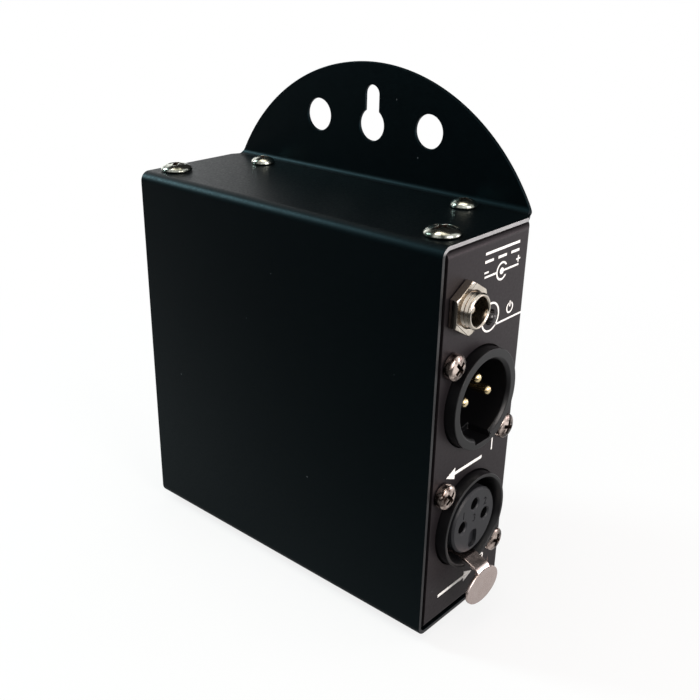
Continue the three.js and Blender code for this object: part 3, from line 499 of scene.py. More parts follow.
FINISHES = {
    "cover_paint": powder_coat(
        "black_powder_coated_steel", "#020304", "#040607", 0.55, 0.41, 0.12, "#78d2ec"),
    # Its pale colour is a painted highlight along the top of the cut edges
    "cut_edge": sheared_edge("sheared_edge_coat_with_painted_top_highlight", "#1f2022", "#a4a4a6"),
    # Painted shade for the cross recesses of the screws, dark and dull
    "painted_recess_shade_nickel": plated("nickel_plated_steel_with_painted_recess_shade", "#3a3029", "#241d19", 0.5, 0.35),
    "panel_paint": powder_coat(
        "brown_black_powder_coated_steel", "#171517", "#1e1b1d", 0.6, 0.42, 0.26, "#f6e4ea"),
    "nickel": plated("nickel_plated_steel", "#e8e1d4", "#ab9d90", 0.16, 0.35),
    # On the screw heads the near-black second colour in sharp patches is a painted dark reflection
    "cover_screw_nickel": plated("nickel_plated_steel_with_painted_dark_reflections", "#dde0d4", "#43463e", 0.16, 0.35, 0.3),
    "panel_screw_nickel": plated("nickel_plated_steel_with_painted_brown_reflections", "#e4d2c8", "#2a1c17", 0.18, 0.35, 0.2),
    "latch_nickel": plated("satin_nickel_plated_brass", "#f6e6e0", "#d4c0ba", 0.22, 0.25),
    "spring_steel": plated("blued_spring_steel", "#8d9094", "#6e7176", 0.35, 0.3),
    "gold": plated("gilt_brass", "#f3e6c4", "#d9bd84", 0.2, 0.3),
    "black_plastic": moulded("moulded_black_polyamide", "#08080a", "#0d0d0f", 0.34, 0.3, 0.25),
    "grey_plastic": moulded("moulded_dark_grey_polyamide", "#1d1e20", "#25262a", 0.45, 0.3, 0.2),
    "lamp_lens": moulded("dark_epoxy_lens", "#141213", "#1b1819", 0.12, 0.5, 2.0),
    "board_green": moulded("solder_resist_on_glass_epoxy", "#16482c", "#1f5f39", 0.35, 0.5, 0.8),
    "chip_epoxy": moulded("moulded_black_epoxy", "#191a1c", "#202123", 0.55, 0.5, 0.2),
    "capacitor_sleeve": moulded("shrunk_blue_pvc_sleeve", "#1d3258", "#263f6c", 0.35, 0.5, 1.5),
    "cable_grey": moulded("extruded_grey_pvc_ribbon", "#8f8f8d", "#a4a4a2", 0.5, 0.5, 0.8),
    "print": moulded("white_screen_print_ink", "#f2f0ec", "#fbfaf8", 0.55, 0.5, 0.3),
}


def dress(piece, finish, body, *nodes, slot=None):
    """Gives a piece its finish, the body that it rides on and the nodes that it stands for, which it hides.
    The slot argument is not used."""
    piece.data.materials.clear()
    piece.data.materials.append(FINISHES[finish])
    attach(piece, body)
    if nodes:
        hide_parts(*nodes)
    return piece


# Cover


def hanger_circle():
    """Radius and centre height of the arch, through the hanger's two feet and its top."""
    rise = HANGER_TOP - BOX_TOP
    radius = (HANGER_FOOT ** 2 + rise ** 2) / (2 * rise)
    return radius, HANGER_TOP - radius


def fold_cover():
    """A plane is extruded over the top into the hanger and under the box, and its folds are rounded."""
    tall = BOX_TOP - UNDERSIDE
    sheet = plane("cover_sheet", (0, FRONT, UNDERSIDE + tall / 2), 2 * BOX_HALF, tall, (math.pi / 2, 0, 0))
    hanger_front = HANGER_BACK - SHEET
    edit(sheet, "EDGE", lambda e: near(middle_of(e).z, BOX_TOP))
    draw_out(0, hanger_front - FRONT, 0)
    draw_out(0, 0, HANGER_TOP + OVERRUN - BOX_TOP)
    edit(sheet, "EDGE", lambda e: near(middle_of(e).z, UNDERSIDE))
    draw_out(0, BACK - FRONT, 0)
    edit(sheet, "EDGE", lambda e: near(middle_of(e).y, FRONT) and abs(middle_of(e).x) < OVERRUN)
    round_off(COVER_BEND + SHEET, 10)
    edit(sheet, "EDGE", lambda e: near(middle_of(e).y, hanger_front) and near(middle_of(e).z, BOX_TOP))
    round_off(COVER_BEND, 10)
    edit(sheet, "FACE")
    bpy.ops.mesh.normals_make_consistent(inside=False)
    cage = bmesh.from_edit_mesh(sheet.data)
    broad = max(cage.faces, key=lambda f: f.calc_area())
    if broad.normal.y > 0:
        bpy.ops.mesh.flip_normals()
    return thicken(sheet)


def hanger_hole_tools():
    """A keyhole, whose round mouth has a slot up to a smaller round end, and a round hole on each side."""
    near_y, far_y = HANGER_BACK - SHEET - OVERRUN, HANGER_BACK + OVERRUN
    mouth_z = BOX_TOP + KEYHOLE_RISE
    slot_z = mouth_z + KEYHOLE_TRAVEL
    keyhole = join(bar(KEYHOLE, "y", near_y, far_y, (0, mouth_z), 72),
                   bar(KEYHOLE_SLOT, "y", near_y, far_y, (0, slot_z), 48),
                   cube((-KEYHOLE_SLOT, near_y, mouth_z), (KEYHOLE_SLOT, far_y, slot_z)))
    return [keyhole] + [
        bar(HANGER_HOLE, "y", near_y, far_y, (side * HANGER_HOLE_OFFSET, BOX_TOP + HANGER_HOLE_RISE), 72)
        for side in (-1, 1)]


def corner_tool(side):
    """The blank narrows to the foot of the hanger just before the bend."""
    bend_line = HANGER_BACK - SHEET
    slant = HANGER_CORNER - SHEET
    tool = cube((HANGER_FOOT, bend_line - 2 * slant, BOX_TOP - SHEET - OVERRUN),
                (HANGER_FOOT + 2 * HANGER_INSET, HANGER_BACK + OVERRUN, HANGER_TOP + OVERRUN))
    edit(tool, "VERT", lambda v: near(v.co.x, HANGER_FOOT) and v.co.y < bend_line)
    bpy.ops.transform.translate(value=(0, 2 * slant, 0))
    take(tool)
    if side < 0:
        tool.data.transform(Matrix.Scale(-1, 4, (1, 0, 0)))
        tool.data.flip_normals()
    return tool


def cover_screw_places():
    for side, hand in ((-1, "left"), (1, "right")):
        for row in ("front", "back"):
            low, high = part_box(f"top_screw_{row}_{hand}")
            middle = (low + high) / 2
            yield f"{row}_{hand}", middle.x, middle.y, row


def bore_cover_screws(sheet, *levels):
    """Bores the holes of the cover's screws through a sheet whose lower faces lie at these levels."""
    for _, x, y, row in cover_screw_places():
        for low in levels:
            cut(sheet, bar(SCREW_BORES[row], "z", low - OVERRUN, low + SHEET + OVERRUN, (x, y), 32))


def make_cover():
    sheet = fold_cover()
    radius, centre_z = hanger_circle()
    trim = cube((-BOX_HALF - OVERRUN, BACK - 2 * OVERRUN, BOX_TOP),
                (BOX_HALF + OVERRUN, HANGER_BACK + OVERRUN, HANGER_TOP + 3 * OVERRUN))
    cut(trim, bar(radius, "y", FRONT, HANGER_BACK + 2 * OVERRUN, (0, centre_z), 360))
    cut(sheet, trim, corner_tool(-1), corner_tool(1), *hanger_hole_tools())
    bore_cover_screws(sheet, UNDERSIDE, BOX_TOP - SHEET)
    aside, above = 0.5 * MM, 0.6 * MM

    def at_foot(place):
        """The end of the hanger's bend, where edges that lie in one line meet."""
        return abs(place.x) > HANGER_FOOT - aside and place.y > BACK - aside and near(place.z, BOX_TOP, above)

    return finish_mesh(sheet, ease=SOFT_EASE, rounds=3, weld=0.03 * MM, stays_sharp=at_foot)


def show_cut_edges(sheet):
    """The coat is drawn thin over the sheared ends of the sheet, which get a dark grey finish paler than the
    coat and a painted highlight along the top.
    """
    margin = 0.3 * MM
    sheet.data.materials.append(FINISHES["cut_edge"])
    for face in sheet.data.polygons:
        if abs(face.normal.x) > FACING and abs(face.center.x) > BOX_HALF - margin:
            face.material_index = 1


# Chassis


def fold_chassis():
    """A box is cut along its fold and flange lines, what the blank lacks is deleted, and the folds are
    rounded."""
    reach = CHASSIS_BEND + SHEET
    tab_x = abs(next(x for _, x, _, row in cover_screw_places() if row == "back"))
    low_fold, high_fold = CHASSIS_FOOT + reach, CHASSIS_HEAD - reach
    flange_end = BACK - reach - RELIEF
    bend_half = PANEL - reach - RELIEF / 2
    sheet = cube(chassis_low, chassis_high, "chassis_sheet")
    lines = [bend_half, PANEL - FLANGE_REACH, tab_x + TAB_HALF + RELIEF, tab_x + TAB_HALF,
             tab_x - TAB_HALF, tab_x - TAB_HALF - RELIEF]
    cuts = [((side * x, 0, 0), (1, 0, 0)) for x in lines for side in (-1, 1)]
    cuts += [((0, y, 0), (0, 1, 0)) for y in (flange_end, BACK - TAB_DEPTH)]
    cuts += [((0, 0, z), (0, 0, 1)) for z in (low_fold, high_fold)]
    for point, normal in cuts:
        edit(sheet, "FACE")
        bpy.ops.mesh.bisect(plane_co=point, plane_no=normal)

    def lacking(face):
        spot = face.calc_center_median()
        beyond = not low_fold < spot.z < high_fold
        from_tab = abs(abs(spot.x) - tab_x)
        if near(spot.y, PANEL_EDGE):
            return True
        if near(spot.y, BACK):
            return beyond and TAB_HALF < from_tab < TAB_HALF + RELIEF
        if near(abs(spot.x), PANEL):
            return False
        flange = abs(spot.x) > (PANEL - FLANGE_REACH if spot.y < flange_end else bend_half)
        tab = from_tab < TAB_HALF and spot.y > BACK - TAB_DEPTH
        return not (flange or tab)

    edit(sheet, "FACE", lacking)
    bpy.ops.mesh.delete(type="FACE")
    edit(sheet, "FACE")
    bpy.ops.mesh.dissolve_limited(angle_limit=math.radians(1))
    edit(sheet, "EDGE", lambda e: e.is_manifold and e.calc_face_angle(0) > 1 and not (
        near(middle_of(e).y, BACK) and PANEL > abs(middle_of(e).x) + OVERRUN / 4 > bend_half))
    round_off(reach, 8)
    return thicken(sheet)


def make_chassis():
    sheet = fold_chassis()
    inner, outer = PANEL - SHEET - OVERRUN, PANEL + OVERRUN
    for side in (-1, 1):
        start, end = sorted((side * inner, side * outer))
        for height in (UPPER, LOWER):
            cut(sheet, bar(COLLAR + FIT, "x", start, end, (CONNECTOR_Y, height), 96), *[
                bar(SCREW_BORES["panel"], "x", start, end, (CONNECTOR_Y + side * y, height + z), 32)
                for y, z in SCREW_PLACES])
    cut(sheet, bar(INLET + FIT, "x", inner, outer, (CONNECTOR_Y + INLET_Y, INLET_Z), 64),
        bar(LAMP + FIT, "x", inner, outer, (CONNECTOR_Y + LAMP_Y, LAMP_Z), 48))
    bore_cover_screws(sheet, CHASSIS_FOOT, CHASSIS_HEAD - SHEET)
    return finish_mesh(sheet)


# Screws: each points along +x, its head resting on x = 0


def cross_screw(kind):
    """A bar is turned into a threaded shank and a domed head, and a tapered cross is cut into the head."""
    head, height, rim_share, shank, length = SCREWS[kind]
    point, lead, thread_start, pitch, root = shank * 0.7, 0.4 * MM, 0.8 * MM, 0.5 * MM, shank * 0.82
    seat, seat_chamfer = head * 0.97, 0.08 * MM
    reach, half, floor, taper = head * 0.66, head * 0.17, height * 0.3, 0.62
    screw = bar(point, "x", -length, -length + lead, sides=48, name=f"{kind}_screw_form")
    steps = []
    place = -length + thread_start
    while place < -pitch:
        steps += [(shank, place), (root, place + pitch / 2)]
        place += pitch
    rim = height * rim_share
    steps += [(shank, 0.0), (seat, 0.0), (head, seat_chamfer), (head, rim)]
    turn(screw, "x", point, steps + dome(head, height - rim, rim, 9))
    arms = []
    for wide, tall in ((reach, half), (half, reach)):
        arm = cube((floor, -wide, -tall), (height + OVERRUN, wide, tall))
        edit(arm, "FACE", lambda f: f.normal.x < -FACING)
        bpy.ops.transform.resize(value=(1, taper, taper), center_override=(0, 0, 0))
        arms.append(arm)
    cut(screw, join(*arms))
    return finish_mesh(screw, ease=FINE_EASE, smooth=30)


def paint_recess_shade(screw, form, kind):
    """Painted shade: the walls and floor of the cross recess get a dull, dark nickel that stands in for the
    shade in the recess.
    """
    head, height = SCREWS[kind][:2]
    reach, floor, below_crown = 0.68, 0.2 * height, 0.07 * height
    screw.data.materials.append(FINISHES["painted_recess_shade_nickel"])
    for face, shape in zip(screw.data.polygons, form.data.polygons):
        out = math.hypot(shape.center.y, shape.center.z) / head
        crown = height * math.sqrt(max(0.0, 1 - out ** 2))
        if out < reach and floor < shape.center.x < crown - below_crown:
            face.material_index = 1


# Connectors, in the panel frame


def housing_blank(name):
    """Collar, flange and rear body, before the cup or the cavity is cut."""
    collar = bar(COLLAR, "x", HOUSING_REAR, COLLAR_PROUD, sides=128, name=name)
    flange = cube((FLANGE_REAR, -FLANGE_HALF, -FLANGE_HALF), (FLANGE_FRONT, FLANGE_HALF, FLANGE_HALF))
    rear = cube((HOUSING_REAR, -HOUSING_HALF, -FLANGE_HALF),
                (FLANGE_REAR + OVERRUN, HOUSING_HALF, HOUSING_HALF))
    join(collar, round_corners(flange, FLANGE_CORNER, 6), round_corners(rear, HOUSING_CORNER, 6))
    return cut(collar, *[
        bar(SCREW_BORES["panel"], "x", HOUSING_REAR - OVERRUN, FLANGE_FRONT + OVERRUN, place, 24)
        for place in SCREW_PLACES])


def make_pin_housing():
    mouth = CUP + CUP_LEAD_IN
    cup = bar(CUP, "x", -CUP_DEPTH, COLLAR_PROUD - CUP_LEAD_IN, sides=128)
    turn(cup, "x", CUP, [(mouth, COLLAR_PROUD), (mouth, COLLAR_PROUD + OVERRUN)])
    notch = cube((COLLAR_PROUD - NOTCH_LENGTH, -NOTCH_HALF, -CUP - NOTCH_DEPTH),
                 (COLLAR_PROUD + OVERRUN, NOTCH_HALF, -CUP + OVERRUN))
    bores = [bar(PIN + FIT, "x", HOUSING_REAR - OVERRUN, OVERRUN - CUP_DEPTH, place, 24)
             for place in CONTACT_PLACES]
    return finish_mesh(cut(housing_blank("pin_housing"), cup, notch, *bores), ease=0.2 * MM, rounds=3)


def turned_pin(name, radius, shoulder, tip, crown, rounds, ease):
    """A pin with a thin tail for the board and a rounded crown at its tip."""
    pin = bar(TAIL, "x", TAIL_END, shoulder, sides=40, name=name)
    base = tip - crown
    turn(pin, "x", TAIL, [(radius, shoulder), (radius, base)] + dome(radius, crown, base, rounds))
    return finish_mesh(pin, ease=ease)


def make_contact_housing():
    seat, funnel = INSERT_STEP + FIT, COLLAR - LIP
    cavity = bar(seat, "x", -INSERT_DEPTH - FIT, -GROOVE_DEPTH, sides=128)
    turn(cavity, "x", seat, [
        (GROOVE, -GROOVE_DEPTH), (GROOVE, COLLAR_PROUD - FUNNEL), (funnel, COLLAR_PROUD),
        (funnel, COLLAR_PROUD + OVERRUN)])
    slot_half = LATCH_HALF + FIT
    slot_rear = LATCH_PIVOT - BARREL - FIT
    slot_end = (COLLAR_PROUD + OVERRUN, slot_half, SLOT_TOP)
    slot = cube((slot_rear, -slot_half, SLOT_FLOOR), slot_end)
    mouth = cube((FLANGE_FRONT, -slot_half, -COLLAR - OVERRUN), slot_end)
    room = cube((slot_rear, -slot_half, SLOT_FLOOR),
                (LATCH_PIVOT + BARREL + FIT, slot_half, LATCH_LINE + BARREL + FIT))
    reach = LATCH_HALF + TRUNNION_REACH + FIT
    pivot = bar(TRUNNION + FIT, "y", -reach, reach, LATCH_AXIS, 32)
    tails = [bar(TAIL + FIT, "x", HOUSING_REAR - OVERRUN, OVERRUN - INSERT_DEPTH, place, 24)
             for place in CONTACT_PLACES]
    blank = cut(housing_blank("contact_housing"), cavity, slot, mouth, room, pivot, *tails)
    return finish_mesh(blank, ease=SOFT_EASE, rounds=3)


def flat_text(name, words, size, thickness):
    """Plain figures as a closed mesh, centred on the origin and facing +z."""
    take(None)
    bpy.ops.object.text_add()
    text = bpy.context.active_object.data
    text.body = words
    text.size = size
    text.extrude = thickness / 2
    text.align_x = text.align_y = "CENTER"
    bpy.ops.object.convert(target="MESH")
    piece = bpy.context.active_object
    edit(piece, "VERT")
    bpy.ops.mesh.remove_doubles(threshold=0.001 * MM)
    take(piece).name = name
    return piece


PANEL_FACING = Matrix(((0, 0, 1), (1, 0, 0), (0, 1, 0))).to_4x4()


def make_insert():
    step, past = SEAT_GAP - GROOVE_DEPTH, 0.05 * MM
    plug = bar(INSERT_STEP, "x", -INSERT_DEPTH, step, sides=128, name="insert_form")
    turn(plug, "x", INSERT_STEP, [
        (INSERT, step), (INSERT, INSERT_PROUD - INSERT_CHAMFER), (INSERT - INSERT_CHAMFER, INSERT_PROUD)])
    tools = []
    for place in CONTACT_PLACES:
        hole = bar(SLEEVE + FIT, "x", -INSERT_DEPTH - OVERRUN, MOUTH_END, place, 40)
        tools.append(turn(hole, "x", SLEEVE + FIT, [
            (CONTACT_MOUTH, MOUTH_END), (CONTACT_MOUTH, INSERT_PROUD + past - MOUTH_LEAD_IN),
            (CONTACT_MOUTH + MOUTH_LEAD_IN, INSERT_PROUD + past)], place))
    keyway = cube((INSERT_PROUD - KEYWAY_DEPTH, -KEYWAY_HALF, KEYWAY_LOW),
                  (INSERT_PROUD + OVERRUN, KEYWAY_HALF, KEYWAY_HIGH))
    tools.append(round_corners(keyway, KEYWAY_CORNER, 5))
    for figure, (y, z) in FIGURE_PLACES.items():
        text = flat_text("tool", figure, FIGURE_SIZE, 2 * FIGURE_DEPTH)
        text.data.transform(Matrix.Translation((INSERT_PROUD, y, z)) @ PANEL_FACING)
        tools.append(text)
    return finish_mesh(cut(plug, *tools), ease=FINE_EASE)


def paint_shade_in_hollows(block, form):
    """Painted shade: the floors of the engraved figures and the walls of the contact holes get black plastic,
    which stands in for the shade in these hollows of the grey moulding.
    """
    block.data.materials.append(FINISHES["black_plastic"])
    for face, shape in zip(block.data.polygons, form.data.polygons):
        centre = shape.center
        engraved = shape.normal.x > 0.8 and near(centre.x, INSERT_PROUD - FIGURE_DEPTH)
        in_hole = centre.x < INSERT_PROUD - MOUTH_LEAD_IN and any(
            math.hypot(centre.y - y, centre.z - z) < SLEEVE + FIT for y, z in CONTACT_PLACES)
        if engraved or in_hole:
            face.material_index = 1


def make_sleeve():
    sleeve = bar(TAIL, "x", TAIL_END, SLEEVE_REAR, sides=40, name="sleeve_form")
    turn(sleeve, "x", TAIL, [
        (SLEEVE, SLEEVE_REAR), (SLEEVE, SLEEVE_FRONT), (SLEEVE_BORE, SLEEVE_FRONT),
        (SLEEVE_BORE, SLEEVE_FRONT - SLEEVE_BORE_DEPTH)])
    return finish_mesh(sleeve, ease=FINE_EASE)


def make_latch():
    """A strip is folded from a plane, given its thickness, and joined to its oval tab and its barrel."""
    strip = plane("latch_form", ((LATCH_PIVOT + LATCH_NECK) / 2, 0, LATCH_LINE),
                  LATCH_NECK - LATCH_PIVOT, 2 * LATCH_HALF)
    tab_line = TAB_FRONT - LATCH_SHEET / 2
    edit(strip, "EDGE", lambda e: near(middle_of(e).x, LATCH_NECK))
    draw_out(tab_line - LATCH_NECK, 0, TAB_SHOULDER - LATCH_LINE)
    draw_out(0, 0, TAB_MIDDLE - TAB_SHOULDER)
    fold = math.atan2(LATCH_LINE - TAB_SHOULDER, tab_line - LATCH_NECK)
    for place, angle in ((LATCH_NECK, fold), (tab_line, math.pi / 2 - fold)):
        edit(strip, "EDGE", lambda e: e.is_manifold and near(middle_of(e).x, place))
        round_off(LATCH_BEND * math.tan(angle / 2), 6)
    thicken(strip, LATCH_SHEET, 0)
    tab = bar(TAB_HEIGHT / 2, "x", TAB_FRONT - LATCH_SHEET, TAB_FRONT, (0, TAB_MIDDLE), 96)
    edit(tab, "VERT")
    bpy.ops.transform.resize(value=(1, TAB_WIDTH / TAB_HEIGHT, 1), center_override=(0, 0, TAB_MIDDLE))
    take(tab)
    barrel = bar(BARREL, "y", -LATCH_HALF, LATCH_HALF, LATCH_AXIS, 40)
    reach = LATCH_HALF + TRUNNION_REACH
    trunnion = bar(TRUNNION, "y", -reach, reach, LATCH_AXIS, 32)
    hook = cube((HOOK_REAR, -HOOK_HALF, LATCH_LINE), (HOOK_FRONT, HOOK_HALF, HOOK_TOP))
    edit(hook, "VERT", lambda v: near(v.co.x, HOOK_FRONT) and near(v.co.z, HOOK_TOP))
    bpy.ops.transform.translate(value=(-HOOK_SLANT, 0, 0))
    take(hook)
    return finish_mesh(join(strip, tab, barrel, trunnion, hook), ease=0.18 * MM, rounds=3, smooth=40)


# Inlet and lamp, in the panel frame


def make_inlet_body():
    rear, flange, flange_end = 4.6 * MM, 5.5 * MM, FLANGE_FRONT - 1.5 * MM
    thread, depth, thread_start, undercut, lead_in = 0.95 * MM, 0.45 * MM, 0.1 * MM, 0.3 * MM, 0.4 * MM
    bore, bore_end, bore_lead_in = 3.1 * MM, -9.0 * MM, 0.25 * MM
    lug_half, lug_thickness, lug_z = 1.0 * MM, 0.5 * MM, -3.4 * MM
    body = bar(rear, "x", INLET_REAR, flange_end, sides=96, name="inlet_form")
    steps = [(flange, flange_end), (flange, FLANGE_FRONT), (INLET - undercut, FLANGE_FRONT)]
    place = thread_start
    while place < INLET_PROUD - lead_in - thread / 2:
        steps += [(INLET, place), (INLET - depth, place + thread / 2)]
        place += thread
    steps += [(INLET, INLET_PROUD - lead_in), (INLET - lead_in, INLET_PROUD),
              (bore + bore_lead_in, INLET_PROUD), (bore, INLET_PROUD - bore_lead_in), (bore, bore_end)]
    turn(body, "x", rear, steps)
    cut(body, bar(INLET_PIN + FIT, "x", INLET_REAR - OVERRUN, bore_end + OVERRUN, sides=32))
    join(body, cube((TAIL_END, -lug_half, lug_z - lug_thickness), (INLET_REAR + OVERRUN, lug_half, lug_z)))
    return finish_mesh(body, ease=0.04 * MM, smooth=25)


def make_inlet_nut():
    flats, bore, chamfer_depth, past = 10.6 * MM, INLET + 0.15 * MM, 0.75 * MM, 0.02 * MM
    corner, back, front = flats / math.sqrt(3), SEAT_GAP, SEAT_GAP + 2.0 * MM
    chamfer_end = corner * 0.9
    nut = bar(corner, "x", back, front, sides=6, name="nut_form")
    edit(nut, "VERT")
    bpy.ops.transform.rotate(value=corner_turn(nut), orient_axis="X", center_override=(0, 0, 0))
    chamfer = bar(corner + OVERRUN, "x", back - OVERRUN, front - chamfer_depth, sides=96)
    turn(chamfer, "x", corner + OVERRUN, [(chamfer_end, front + past)])
    combine(nut, "INTERSECT", chamfer)
    cut(nut, bar(bore, "x", back - OVERRUN, front + OVERRUN, sides=96))
    return finish_mesh(nut, rounds=3)


def corner_turn(nut):
    """The angle that brings a corner of the nut to the top."""
    cage = bmesh.from_edit_mesh(nut.data)
    cage.verts.ensure_lookup_table()
    first = cage.verts[0].co
    return (math.atan2(first.z, first.y) - math.pi / 2) % (math.pi / 3)


def make_lamp():
    shoulder, rim, dome_base = FLANGE_FRONT - 1.0 * MM, 1.9 * MM, LAMP_PROUD - LAMP
    leg_half, leg_place = 0.25 * MM, 1.27 * MM
    lamp = bar(LAMP, "x", LAMP_REAR, shoulder, name="lamp_form")
    turn(lamp, "x", LAMP, [(rim, shoulder), (rim, FLANGE_FRONT), (LAMP, FLANGE_FRONT), (LAMP, dome_base)]
         + dome(LAMP, LAMP, dome_base, 10))
    legs = [cube((TAIL_END, -leg_half, z - leg_half), (LAMP_REAR + OVERRUN, leg_half, z + leg_half))
            for z in (-leg_place, leg_place)]
    return finish_mesh(join(lamp, *legs), ease=FINE_EASE)


# Printed signs on the end panels, whose sizes and places are plain numbers of millimetres


def sign_ring(radius, width):
    """A thin ring facing +z."""
    outer, inner = (radius + width / 2) * MM, (radius - width / 2) * MM
    return cut(bar(outer, "z", -INK_HALF, INK_HALF, sides=72), bar(inner, "z", -OVERRUN, OVERRUN, sides=72))


def sign_bar(left, low, right, high, half=INK_HALF):
    return cube((left * MM, low * MM, -half), (right * MM, high * MM, half))


def sign_arrow(half_length, height, width):
    """A line that ends in a solid triangle, facing +z and pointing to the right."""
    head, set_back, point_share = height * 1.1, 0.9, 0.02
    line = sign_bar(-half_length, -width / 2, half_length - head * set_back, width / 2)
    tip = sign_bar(half_length - head, -height / 2, half_length, height / 2)
    edit(tip, "VERT", lambda v: near(v.co.x, half_length * MM))
    bpy.ops.transform.resize(value=(1, point_share, 1), center_override=(0, 0, 0))
    take(tip)
    return join(line, tip)


def put_sign(sign, name, side, behind, above, half_turn=False):
    """Moves a sign drawn round the origin to a place behind the front face and above the underside."""
    facing = PANEL_FACING @ (Matrix.Rotation(math.pi, 4, "Z") if half_turn else Matrix.Identity(4))
    y = (FRONT + behind * MM - CONNECTOR_Y) * side
    proud = INK_HALF + 0.001 * MM
    sign.data.transform(
        end_place(side, UNDERSIDE + above * MM) @ Matrix.Translation((proud, y, 0)) @ facing)
    sign.name = sign.data.name = name
    dress(sign, "print", "case")


def print_signs():
    line = 0.45
    half = line / 2
    lamp_behind = (LAMP_Y + CONNECTOR_Y - FRONT) / MM
    # Direct current: a bar over three dashes
    dashes = [sign_bar(x, -1.2, x + 3.2, -0.6) for x in (-6.6, -1.6, 3.4)]
    current = join(sign_bar(-6.6, 0.6, 6.6, 1.2), *dashes)
    # Polarity: minus to the shell, plus to the pin
    polarity = cut(sign_ring(1.9, line), sign_bar(0.8, -1.1, 3, 1.1, OVERRUN))
    join(polarity, sign_bar(-6.6, -half, -1.8, half), sign_bar(0, -half, 6.6, half),
         bar(0.75 * MM, "z", -INK_HALF, INK_HALF, sides=40))
    minus = sign_bar(-0.8, -0.2, 0.8, 0.2)
    plus = join(sign_bar(-0.8, -0.2, 0.8, 0.2), sign_bar(-0.2, -0.8, 0.2, 0.8))
    # Lamp: a ring with a leader line, and a plain on sign
    ring, leader = sign_ring(3.2, line), sign_bar(-5.3, -half, 5.3, half)
    on_sign = cut(sign_ring(1.15, 0.4), sign_bar(-0.55, 0.4, 0.55, 2, OVERRUN))
    join(on_sign, sign_bar(-0.2, 0.2, 0.2, 1.6))
    for sign, name, behind, above in (
            (current, "direct_current_sign", 22.1, 89.9), (polarity, "polarity_sign", 22.3, 85.6),
            (minus, "polarity_minus_sign", 16.3, 86.6), (plus, "polarity_plus_sign", 28.6, 86.9),
            (ring, "lamp_ring_sign", lamp_behind, LAMP_RISE / MM), (leader, "lamp_leader_sign", 26.7, 73.5),
            (on_sign, "lamp_on_sign", 27, 76)):
        put_sign(sign, name, 1, behind, above)
    # Signal in, signal through and signals out: an arrow and, farther back, a number
    middle = (CONNECTOR_Y - FRONT) / MM
    arrow_height, arrow_line, number_size, number_offset = 3, 0.8, 4.6, 8.4
    by_side = {1: (7, 2.6, 1.6), -1: (3.2, 10.2, 0)}
    for name, side, above, figure in (
            ("input", 1, 40.6, "1"), ("through", 1, 8.2, "2"),
            ("output_1", -1, 40.6, "1"), ("output_2", -1, 8.2, "2")):
        half_length, shift, lift = by_side[side]
        arrow = sign_arrow(half_length, arrow_height, arrow_line)
        put_sign(arrow, f"{name}_arrow_sign", side, middle - shift, above, name == "input")
        number = flat_text("number", figure, number_size * MM, 2 * INK_HALF)
        put_sign(number, f"{name}_number_sign", side, middle + number_offset, above + lift)


# Assembly


def fit_screws():
    forms = {row: cross_screw(row) for row in ("front", "back")}
    for name, x, y, row in cover_screw_places():
        # Each stops at an angle of its own, which two primes spread over a quarter turn
        angle = math.radians((x * 7919 + y * 104729) / MM % 90)
        for face, height, up in (("top", BOX_TOP + SEAT_GAP, -1), ("bottom", UNDERSIDE - SEAT_GAP, 1)):
            place = (Matrix.Translation((x, y, height)) @ Matrix.Rotation(up * math.pi / 2, 4, "Y")
                     @ Matrix.Rotation(angle, 4, "X"))
            screw = copy_to(forms[row], f"{face}_{name}_screw_head", place)
            dress(screw, "cover_screw_nickel", "case", f"{face}_screw_{name}", slot="nickel")
            # Painted shade in the cross recess
            paint_recess_shade(screw, forms[row], row)
    for form in forms.values():
        bpy.data.objects.remove(form)


def fit_connectors():
    forms = {
        "screw": cross_screw("panel"),
        "pin_housing": make_pin_housing(),
        "pin": turned_pin("pin_form", PIN, PIN_SHOULDER, PIN_TIP, PIN_CROWN, 8, 0.06 * MM),
        "contact_housing": make_contact_housing(),
        "insert": make_insert(),
        "latch": make_latch(),
        "sleeve": make_sleeve(),
    }
    first_angle, by_screw, by_side = 17, 31, 23
    for name, side, height in (
            ("input", 1, UPPER), ("through", 1, LOWER), ("output_1", -1, UPPER), ("output_2", -1, LOWER)):
        place = end_place(side, height)
        for i, (y, z) in enumerate(SCREW_PLACES):
            angle = Matrix.Rotation(math.radians(first_angle + by_screw * i + by_side * side), 4, "X")
            screw = copy_to(forms["screw"], f"{name}_panel_screw_{i + 1}",
                            place @ Matrix.Translation((SEAT_GAP, y, z)) @ angle)
            dress(screw, "panel_screw_nickel", "case", f"{name}_screw_{i + 1}", slot="nickel")
            # Painted shade in the cross recess
            paint_recess_shade(screw, forms["screw"], "panel")
        housing, metal, node = "contact_housing", "sleeve", f"{name}_contact"
        if name == "input":
            housing, metal, node = "pin_housing", "pin", "input_pin"
        dress(copy_to(forms[housing], f"{name}_shell", place), "black_plastic", "case", f"{name}_housing")
        if name != "input":
            block = copy_to(forms["insert"], f"{name}_contact_block", place)
            # Painted shade in the figures and contact holes of the insert
            paint_shade_in_hollows(dress(block, "grey_plastic", "case", f"{name}_insert"), forms["insert"])
            dress(copy_to(forms["latch"], f"{name}_push_latch", place), "latch_nickel", f"{name}_latch",
                  f"{name}_latch")
        for i, (y, z) in enumerate(CONTACT_PLACES):
            contact_place = place @ Matrix.Translation((0, y, z))
            dress(copy_to(forms[metal], f"{name}_gilt_{metal}_{i + 1}", contact_place), "gold", "case",
                  f"{node}_{i + 1}")
    for form in forms.values():
        bpy.data.objects.remove(form)


